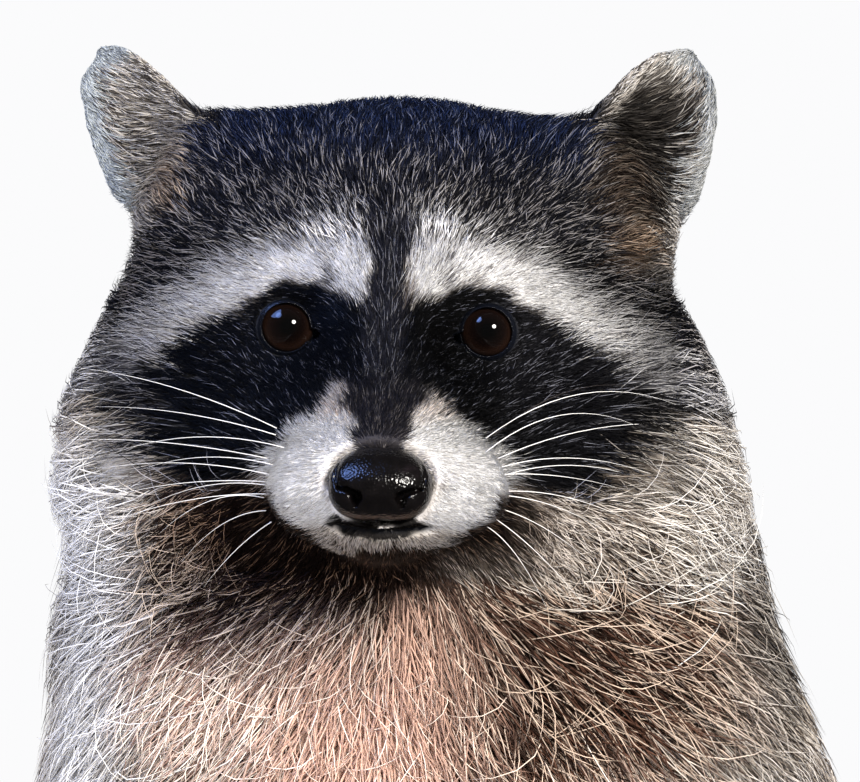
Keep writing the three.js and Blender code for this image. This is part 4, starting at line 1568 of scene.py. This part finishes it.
    def colour(
        self, zone: Zone, places: Array, parts: Array, rng: np.random.Generator
    ) -> tuple[Array, Array]:
        """Picks each tuft's colours from the markings.

        Args:
            zone: The piece being made.
            places: Where each tuft shows, in metres.
            parts: The part under each place.
            rng: Random numbers.

        Returns:
            Colours of root, middle and tip, (tufts, 3, 3), and which tufts are pale.
        """
        _, along = self.skin.tail_way(self.skin.stance.to_body(places))
        field = self.markings.field(places, parts, along)
        main, pale, dark = field[:, 0:3], field[:, 3:6], field[:, 6:9]
        draw = rng.random(len(places))
        light = (draw < np.maximum(field[:, 9], zone.pale))[:, None]
        deep = (draw > 1 - field[:, 10])[:, None] & ~light
        hair = np.where(light, pale, np.where(deep, dark, main))
        hair = hair * rng.uniform(*self.tone_spread, len(places))[:, None]
        # roots darkened by the root tone: darker underfur and painted shade between strands
        root = (0.5 * dark + 0.5 * main) * field[:, 11:12]
        middle = np.where(light, hair + (main * 0.95 - hair) * zone.tip_only, hair * 0.95)
        return np.clip(np.stack([root, middle, hair], 1), 0, 1), light[:, 0]

    def weave(self, zone: Zone, tufts: Tufts) -> bpy.types.Mesh:
        """Joins the tufts into one mesh: closed spikes of three sides, ridge outwards.

        Args:
            zone: The piece being made.
            tufts: Its tufts.

        Returns:
            The mesh, with its colours and its map for baking.
        """
        count, rings = len(tufts.roots), zone.rings
        middle, tips, width, colours = tufts.middle, tufts.tips, tufts.width, tufts.colours
        start = tufts.roots - tufts.normals * (0.35 * width)[:, None]
        bend = 2 * middle - 0.5 * (start + tips) if rings > 1 else middle
        size = 3 * rings + 1
        points, shades = np.empty((2, count, size, 3))
        chart, unwrapped = np.empty((count, size, 2)), self.unwrap(tufts.roots)
        for i, (t, thick) in enumerate(zip(*SPIKES[rings])):
            centre = start * (1 - t) ** 2 + bend * (2 * t * (1 - t)) + tips * t * t
            along = (bend - start) * (1 - t) + (tips - bend) * t if rings > 1 else tips - start
            along = unit(along)
            across = unit(np.cross(unit(tufts.normals * (1 - t) + tufts.lifted * t), along))
            up = np.cross(along, across)
            half = (0.5 * thick * width)[:, None]
            mix = (1 - 2 * t, 2 * t, 0) if t < 0.5 else (0, 2 - 2 * t, 2 * t - 1)
            tone = sum(colours[:, k] * share for k, share in enumerate(mix))
            for k, offset in enumerate((across * half, up * half * 0.9, -across * half)):
                points[:, 3 * i + k] = centre + offset
                shades[:, 3 * i + k] = tone
                spot = ((1 - k) * self.patch / 2, (t - 0.5) * self.patch - self.notch * (k == 1))
                chart[:, 3 * i + k] = unwrapped + np.array(spot)
        points[:, -1], shades[:, -1] = tips, colours[:, 2]
        chart[:, -1] = unwrapped + (0, self.patch / 2)
        faces = [(0, 2, 1)]
        for i in range(rings - 1):
            for k in range(3):
                a, b = 3 * i + k, 3 * i + (k + 1) % 3
                faces += [(a, b, b + 3), (a, b + 3, a + 3)]
        last = 3 * (rings - 1)
        faces += [(last + k, last + (k + 1) % 3, size - 1) for k in range(3)]
        firsts = (np.arange(count) * size)[:, None, None]
        triangles = (np.array(faces)[None] + firsts).reshape(-1, 3)
        mesh = new_mesh(zone.name, points.reshape(-1, 3), triangles)
        add_colours(mesh, shades.reshape(-1, 3))
        corners = chart.reshape(-1, 2)[triangles.ravel()].astype(np.float32)
        mesh.uv_layers.new(name="OFBake").data.foreach_set("uv", corners.ravel())
        return mesh

    @staticmethod
    def unwrap(roots: Array) -> Array:
        """Unrolls a piece of skin as a capsule: round its long axis, along it, and over its ends.

        Args:
            roots: Places in metres.

        Returns:
            Places from 0 to 1 on the unrolled skin.
        """
        centre = roots.mean(0)
        away = roots - centre
        axes = np.linalg.eigh(away.T @ away)[1]
        axis, first, second = axes[:, 2], axes[:, 1], axes[:, 0]
        along = away @ axis
        across = np.hypot(away @ first, away @ second)
        radius = np.median(across)
        ends = np.quantile(along, (0.03, 0.97)) + (radius, -radius)
        core = np.clip(along, *(ends if np.ptp(along) > 2.5 * radius else (0, 0)))
        height = core + radius * np.arctan2(along - core, across)
        turn = np.arctan2(away @ second, away @ first) / (2 * math.pi) + 0.5
        height = (height - height.min()) / max(np.ptp(height), 1e-9)
        return np.stack([turn, height], 1) * 0.99 + 0.005


# ---------------------------------------------------------------- eyes, nose, claws and whiskers


@dataclass(frozen=True)
class CorneaFinish:
    """A wet eye: black pupil in a very dark brown iris under a clear, mirror-smooth cornea."""

    name: str = "raccoon_eye"
    streak: float = 0.35
    rings: tuple = (
        (0.2, "#030303"), (0.55, "#0b0605"), (0.84, "#1c110c"), (1.02, "#0e0908"), (1.15, "#060505")
    )

    def make(self) -> bpy.types.Material:
        """Builds the material.

        Returns:
            The eye's material.
        """
        paint = Painter.start(self.name)
        ring = paint.add(ATTRIBUTE, {"attribute_name": "ring"})
        place = paint.add(PLACE)
        grain = paint.add(NOISE, Vector=(place, "Object"), Scale=1 / (self.streak * MM), Detail=2.0)
        add = {"operation": "MULTIPLY_ADD"}
        shake = paint.add("ShaderNodeMath", add, in_0=(grain, "Fac"), in_1=0.08, in_2=(ring, "Fac"))
        tone = paint.add(STOPS, stops=self.rings, Fac=(shake, "Value"))
        return paint.finish(
            SHADER, Base_Color=(tone, "Color"), Roughness=0.03, Specular_IOR_Level=0.45, IOR=1.38
        )


@dataclass(frozen=True)
class Eyes:
    """Two eyeballs with a raised cornea, each looking ahead, the iris darkened towards its top as
    painted shade of the upper lid.
    """

    radius: float = 7.3
    cornea: float = 0.35
    reach: float = 48.0
    iris: float = 60.0
    # how far the iris darkens towards its top: painted shade of the upper lid
    shade: float = 0.22

    def build(self) -> None:
        """Makes both eyes."""
        finish = CorneaFinish().make()
        for name in ("eye_left", "eye_right"):
            work = bmesh.new()
            bmesh.ops.create_uvsphere(work, u_segments=64, v_segments=40, radius=1.0)
            bmesh.ops.rotate(work, verts=work.verts, matrix=Matrix.Rotation(math.pi / 2, 3, "X"))
            low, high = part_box(name)
            centre = (low + high) / 2
            rings = []
            for vert in work.verts:
                angle = math.degrees(math.acos(max(-1.0, min(1.0, -vert.co.y))))
                # iris rings, shifted darker towards the top as painted lid shade
                rings.append(angle / self.iris - self.shade * vert.co.z)
                bulge = self.cornea * float(ramp(self.reach, 0, np.array(angle)))
                vert.co = centre + vert.co.normalized() * ((self.radius + bulge) * MM)
            work.normal_update()
            mesh = from_bmesh(work, name.replace("eye", "eyeball"))
            add_values(mesh, "ring", np.array(rings))
            put_in(mesh, finish, "eye", name)


@dataclass(frozen=True)
class LeatherFinish:
    """The nose pad: black, wet, hairless skin with a fine pebbled grain."""

    name: str = "raccoon_nose_leather"
    pebble: float = 0.55
    patch: float = 4.5
    tones: tuple = ((0.32, "#050404"), (0.62, "#0a0808"), (0.8, "#151012"))

    def make(self) -> bpy.types.Material:
        """Builds the material.

        Returns:
            The nose's material.
        """
        paint = Painter.start(self.name)
        place = paint.add(PLACE)
        cell = paint.add(
            "ShaderNodeTexVoronoi", {"feature": "SMOOTH_F1"},
            Vector=(place, "Object"), Scale=1 / (self.pebble * MM), Smoothness=0.6,
        )
        broad = paint.add(NOISE, Vector=(place, "Object"), Scale=1 / (self.patch * MM), Detail=2.0)
        tone = paint.add(STOPS, stops=self.tones, Fac=(broad, "Fac"))
        bump = paint.add(BUMP, Height=(cell, "Distance"), Strength=0.5, Distance=0.25 * MM)
        wet = paint.add(RANGE, Value=(broad, "Fac"), To_Min=0.10, To_Max=0.28)
        return paint.finish(
            SHADER,
            Base_Color=(tone, "Color"),
            Roughness=(wet, "Result"),
            Normal=(bump, "Normal"),
            Specular_IOR_Level=0.32,
        )


@dataclass(frozen=True)
class Nose:
    """The nose pad: a broad rounded block with curved nostrils, creased wings and a groove."""

    stance: Stance
    centre: tuple = (0.0, -53.5, -34.8)
    half: tuple = (11.6, 8.6, 8.2)
    slit: tuple = ((9.2, -1.0), (7.0, -1.3), (5.0, -2.6), (5.2, -4.6))
    crease: tuple = ((9.2, -1.0), (10.0, 1.2), (9.7, 3.4), (8.6, 5.6), (7.4, 7.0))

    def build(self) -> None:
        """Makes the nose."""
        work = bmesh.new()
        bmesh.ops.create_icosphere(work, subdivisions=6, radius=1.0)
        mesh = from_bmesh(work, "nose_pad")
        x, y, z = Surface(mesh).points.T
        power = 2.9 + 0.8 * ramp(0.2, -0.4, z)
        square = (np.abs(x) ** power + np.abs(y) ** 2.3 + np.abs(z) ** power) ** (-1 / power)
        x, y, z = x * square, y * square, z * square
        x = x * (1 - 0.17 * ramp(0.1, 1.0, z) - 0.10 * ramp(-0.2, -1.0, z))
        wide, deep, tall = x * self.half[0], y * self.half[1], z * self.half[2]
        deep = deep + 2.4 * ramp(0.0, 1.0, z)
        ahead = ramp(0.35, -0.1, y)
        seen = np.stack([np.abs(wide), tall], 1)
        gap, along = self.to_line(seen, self.slit)
        breadth = np.interp(along, (0, 0.45, 0.75, 1.0), (0.35, 0.65, 1.15, 0.55))
        pit = np.interp(along, (0, 0.5, 0.8, 1.0), (1.6, 3.0, 4.2, 2.2))
        pit *= ramp(1.5, 0.4, gap / breadth)
        fold, high = self.to_line(seen, self.crease)
        fold = np.exp(-((fold / 0.42) ** 2)) * np.interp(high, (0, 0.6, 1.0), (1.3, 0.8, 0.0))
        wing = np.exp(-(((seen[:, 0] - 8.4) / 2.4) ** 2) - ((seen[:, 1] + 4.4) / 2.2) ** 2)
        groove = np.exp(-((wide / 0.5) ** 2)) * ramp(-1.0, -3.5, tall)
        deep = deep + (pit + fold - 0.7 * wing + 0.3 * groove) * ahead
        head = np.stack([wide, deep, tall], 1) + np.array(self.centre)
        mesh.vertices.foreach_set("co", self.stance.from_head(head).astype(np.float32).ravel())
        mesh.update()
        put_in(mesh, LeatherFinish().make(), "nose_skin", "nose")

    @staticmethod
    def to_line(places: Array, line: tuple) -> tuple[Array, Array]:
        """Measures places against a bent line.

        Args:
            places: Places in two numbers each.
            line: The line's corners.

        Returns:
            How far each place is from the line, and how far along it, from 0 to 1.
        """
        corners = np.array(line)
        best, along = np.full(len(places), 1e9), np.zeros(len(places))
        for i, (a, b) in enumerate(zip(corners[:-1], corners[1:])):
            t = np.clip((places - a) @ (b - a) / ((b - a) @ (b - a)), 0, 1)
            gap = np.linalg.norm(places - a - t[:, None] * (b - a), axis=1)
            along = np.where(gap < best, (i + t) / (len(corners) - 1), along)
            best = np.minimum(gap, best)
        return best, along


@dataclass(frozen=True)
class HornFinish:
    """Claw horn: smooth dark keratin with fine paler lines along it."""

    name: str = "claw_horn"
    line: float = 0.5
    tones: tuple = ((0.3, "#211b17"), (0.7, "#4a3f36"))

    def make(self) -> bpy.types.Material:
        """Builds the material.

        Returns:
            The claws' material.
        """
        paint = Painter.start(self.name)
        place = paint.add(PLACE)
        stretched = paint.add("ShaderNodeMapping", Vector=(place, "Object"), Scale=(1.0, 0.15, 1.0))
        size = 1 / (self.line * MM)
        lines = paint.add(NOISE, Vector=(stretched, "Vector"), Scale=size, Detail=2.0)
        tone = paint.add(STOPS, stops=self.tones, Fac=(lines, "Fac"))
        bump = paint.add(BUMP, Height=(lines, "Fac"), Strength=0.3, Distance=0.1 * MM)
        return paint.finish(
            SHADER,
            Base_Color=(tone, "Color"),
            Roughness=0.32,
            Normal=(bump, "Normal"),
            Specular_IOR_Level=0.5,
        )


@dataclass(frozen=True)
class Claws:
    """Five claws on each foot, rounded from their solids."""

    rounds: int = 2

    def build(self) -> None:
        """Makes a piece for each foot."""
        finish = HornFinish().make()
        all_axes = {f"use_axis_{axis}": True for axis in "xyz"}
        for foot in ("forefoot_left", "forefoot_right", "hindfoot_left", "hindfoot_right"):
            nodes = [f"claw_{foot}_{toe}" for toe in range(1, 6)]
            work = bmesh.new()
            for node in nodes:
                work.from_mesh(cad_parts[node].data)
            bmesh.ops.remove_doubles(work, verts=work.verts, dist=1e-6)
            for _ in range(self.rounds):
                bmesh.ops.subdivide_edges(work, edges=work.edges, cuts=1, use_grid_fill=True)
                bmesh.ops.smooth_vert(work, verts=work.verts, factor=0.4, **all_axes)
            bmesh.ops.triangulate(work, faces=work.faces)
            put_in(from_bmesh(work, f"claws_{foot}"), finish, "claw_horn", *nodes)


@dataclass(frozen=True)
class Whiskers:
    """Tapered bristles in a fan on each side of the muzzle, with a few over the eyes."""

    stance: Stance
    thick: float = 0.25
    sides: int = 5
    stations: int = 12
    seed: int = 31
    white: str = "#f4f1ec"
    deep: str = "#3a332f"
    # degrees above level and lengths in mm, from the top whisker down
    left: tuple = (
        (24, 15, 18, 9, 3, -2, 1, -8, -14, -26, -36, -48),
        (40, 60, 42, 54, 50, 38, 46, 44, 32, 34, 38, 24),
    )
    right: tuple = (
        (17, 8, 3, 6, 0, 3, -3, -5, -9, -16, -28, -40),
        (68, 50, 46, 58, 44, 54, 46, 38, 44, 30, 32, 24),
    )
    # stiff keratin bristles: glossier and more even than fur
    finish: HairFinish = HairFinish("whisker_keratin", 0.35, 0.5, 3.0, 0.15)

    def build(self) -> None:
        """Makes all whiskers as one piece."""
        rng = np.random.default_rng(self.seed)
        work = bmesh.new()
        shades: list[tuple[float, bool]] = []
        for side in (-1, 1):
            for root, lean, length, droop, dark in self.fan(side):
                sweep = 0.62 + 0.12 * rng.normal()
                lean += 0.035 * rng.normal()
                way = unit(np.array((side * math.cos(lean), sweep, math.sin(lean))))
                root = root + rng.normal(0, 0.7, 3) * (1, 0, 1)
                length *= rng.uniform(0.85, 1.12)
                droop *= rng.uniform(0.4, 1.9)
                self.bristle(work, root, way, length, droop, dark)
                shades += [(i / self.stations, dark) for i in range(self.stations + 1)]
        mesh = from_bmesh(work, "whiskers")
        white, deep = [np.array(linear(code)[:3]) for code in (self.white, self.deep)]
        tones = [deep if dark else white * (0.75 + 0.25 * min(1.0, t * 4)) for t, dark in shades]
        add_colours(mesh, np.repeat(tones, self.sides, axis=0))
        put_in(mesh, self.finish.make(), "face_fur")

    def fan(self, side: int) -> list[tuple[Array, float, float, float, bool]]:
        """Lists the whiskers of one side.

        Args:
            side: 1 on the animal's left, -1 on its right.

        Returns:
            Root in head mm, angle above level, length, droop in mm and whether it is dark.
        """
        rows = []
        for i, (lean, size) in enumerate(zip(*(self.left if side > 0 else self.right))):
            row = i % 3
            out = 24.5 - 1.05 * row + 0.17 * i
            root = np.array((side * out, -29 - 3.2 * row, -23.5 - 1.8 * i))
            droop, dark = 3.5 if lean > 10 else 1.5, side > 0 and i == 0
            rows.append((root, math.radians(lean), size, droop, dark))
        for i in range(3):
            root = np.array((side * (17.0 + 4 * i), -9.0 + 1.5 * i, 13.5 - 0.5 * i))
            rows.append((root, math.radians(70 - 16 * i), 20 + 3 * i, 1.0, True))
        return rows

    def bristle(
        self, work: bmesh.types.BMesh, root: Array, way: Array,
        length: float, droop: float, dark: bool,
    ) -> None:
        """Adds one bristle: rings along an arc, bridged, closed at the root and drawn to a point.

        Args:
            work: Mesh to add to.
            root: Its root in head mm.
            way: Its direction.
            length: Its length in mm.
            droop: How far its arc rises above the straight line, in mm.
            dark: Whether it is a dark one.
        """
        before = None
        for i in range(self.stations + 1):
            t = i / self.stations
            bow = 4 * droop * t * (1 - t) - 2.5 * t * t
            centre = root + way * length * t + np.array((0, 4.5 * t * t, bow))
            radius = max(0.5 * self.thick * (1 - t) ** 0.7 * (0.6 if dark else 1.0), 0.03)
            turn = Vector(way @ self.stance.axes).to_track_quat("Z", "Y").to_matrix().to_4x4()
            place = Matrix.Translation(Vector(self.stance.from_head(centre))) @ turn
            ends = i in (0, self.stations)
            verts = bmesh.ops.create_circle(
                work, cap_ends=ends, segments=self.sides, radius=radius * MM, matrix=place
            )["verts"]
            edges = list({e for v in verts for e in v.link_edges})
            if i == 0:
                bmesh.ops.reverse_faces(work, faces=list({f for v in verts for f in v.link_faces}))
            if before:
                bmesh.ops.bridge_loops(work, edges=before + edges)
            before = edges


# ---------------------------------------------------------------- studio


@dataclass(frozen=True)
class Studio:
    """Pale floor, soft light from both sides and the camera in front of the face."""

    distance: float = 1.8
    lens: float = 327.6
    floor_radius: float = 4.0
    board: tuple = ((0.3, "#eceae7"), (0.7, "#f1f0ee"))
    right: float = 0.0097
    up: float = -0.014

    def build(self, stance: Stance) -> None:
        """Sets the scene up.

        Args:
            stance: Where the eyes are.
        """
        self.floor()
        self.world()
        self.lamp("key", (0.84, -1.48, 0.80), 15, 5.6, "#fffaf3")
        self.lamp("fill", (-1.4, -1.3, 0.3), 120, 3.0, "#fffaf5", shines=False)
        self.lamp("sky", (-0.85, -0.62, 1.18), 20, 1.3, "#88abff")
        self.lamp("gleam", (-0.62, -0.16, 0.78), 34, 3.0, "#88abff", lights=False)
        data = bpy.data.cameras.new("camera")
        data.lens, data.sensor_width = self.lens, 36.0
        data.clip_start, data.clip_end = 0.05, 100.0
        camera = show("camera", data)
        camera.location = Vector(stance.eyes) + Vector((self.right, -self.distance, self.up))
        camera.rotation_euler = (math.pi / 2, 0, 0)
        bpy.context.scene.camera = camera
        bpy.context.scene.view_settings.view_transform = "Standard"

    def floor(self) -> None:
        """Lays the floor, of matt painted board."""
        work = bmesh.new()
        bmesh.ops.create_circle(work, cap_ends=True, segments=96, radius=self.floor_radius)
        mesh = from_bmesh(work, "floor")
        paint = Painter.start("matt_painted_board")
        place = paint.add(PLACE)
        cloud = paint.add(NOISE, Vector=(place, "Object"), Scale=3.0, Detail=2.0)
        tone = paint.add(STOPS, stops=self.board, Fac=(cloud, "Fac"))
        mesh.materials.append(paint.finish(SHADER, Base_Color=(tone, "Color"), Roughness=0.8))
        floor = show("floor", mesh)
        floor.visible_glossy = False

    def world(self) -> None:
        """Fills the room with even pale light, dimmer in mirrors so that wet eyes stay dark."""
        world = bpy.data.worlds.new("room")
        world.use_nodes = True
        back = world.node_tree.nodes["Background"]
        back.inputs["Color"].default_value = linear("#fbfbfc")
        paint = Painter(world)
        ray = paint.add("ShaderNodeLightPath")
        mirrored = paint.add(RANGE, Value=(ray, "Is Glossy Ray"), To_Min=0.30, To_Max=0.06)
        strength = paint.add(
            RANGE, Value=(ray, "Is Camera Ray"), To_Min=(mirrored, "Result"), To_Max=1.0
        )
        world.node_tree.links.new(strength.outputs["Result"], back.inputs["Strength"])
        bpy.context.scene.world = world

    def lamp(
        self, name: str, way: tuple, spread: float, strength: float, code: str,
        shines: bool = True, lights: bool = True,
    ) -> None:
        """Lights the whole room evenly from one side.

        Args:
            name: The lamp's name.
            way: From the animal towards the lamp.
            spread: How wide the lamp looks, in degrees; more is softer.
            strength: Its light, in watts a square metre.
            code: Its colour.
            shines: Whether it is mirrored in wet surfaces.
            lights: Whether it lights matt ones.
        """
        data = bpy.data.lights.new(name, "SUN")
        data.angle, data.energy, data.color = math.radians(spread), strength, linear(code)[:3]
        lamp = show(name, data)
        lamp.rotation_euler = Vector(way).to_track_quat("Z", "Y").to_euler()
        lamp.visible_glossy, lamp.visible_diffuse = shines, lights


def main() -> None:
    """Builds the animal and its studio in order."""
    logging.basicConfig(level=logging.INFO, format="%(relativeCreated)7d ms %(message)s")
    stance = Stance.read()
    Studio().build(stance)
    markings = Markings(stance)
    skin = Skin(stance)
    skin.build()
    skin.dress(markings)
    Coat(skin, markings).build()
    Eyes().build()
    Nose(stance).build()
    Claws().build()
    Whiskers(stance).build()
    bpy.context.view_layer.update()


if __name__ == "__main__":
    main()
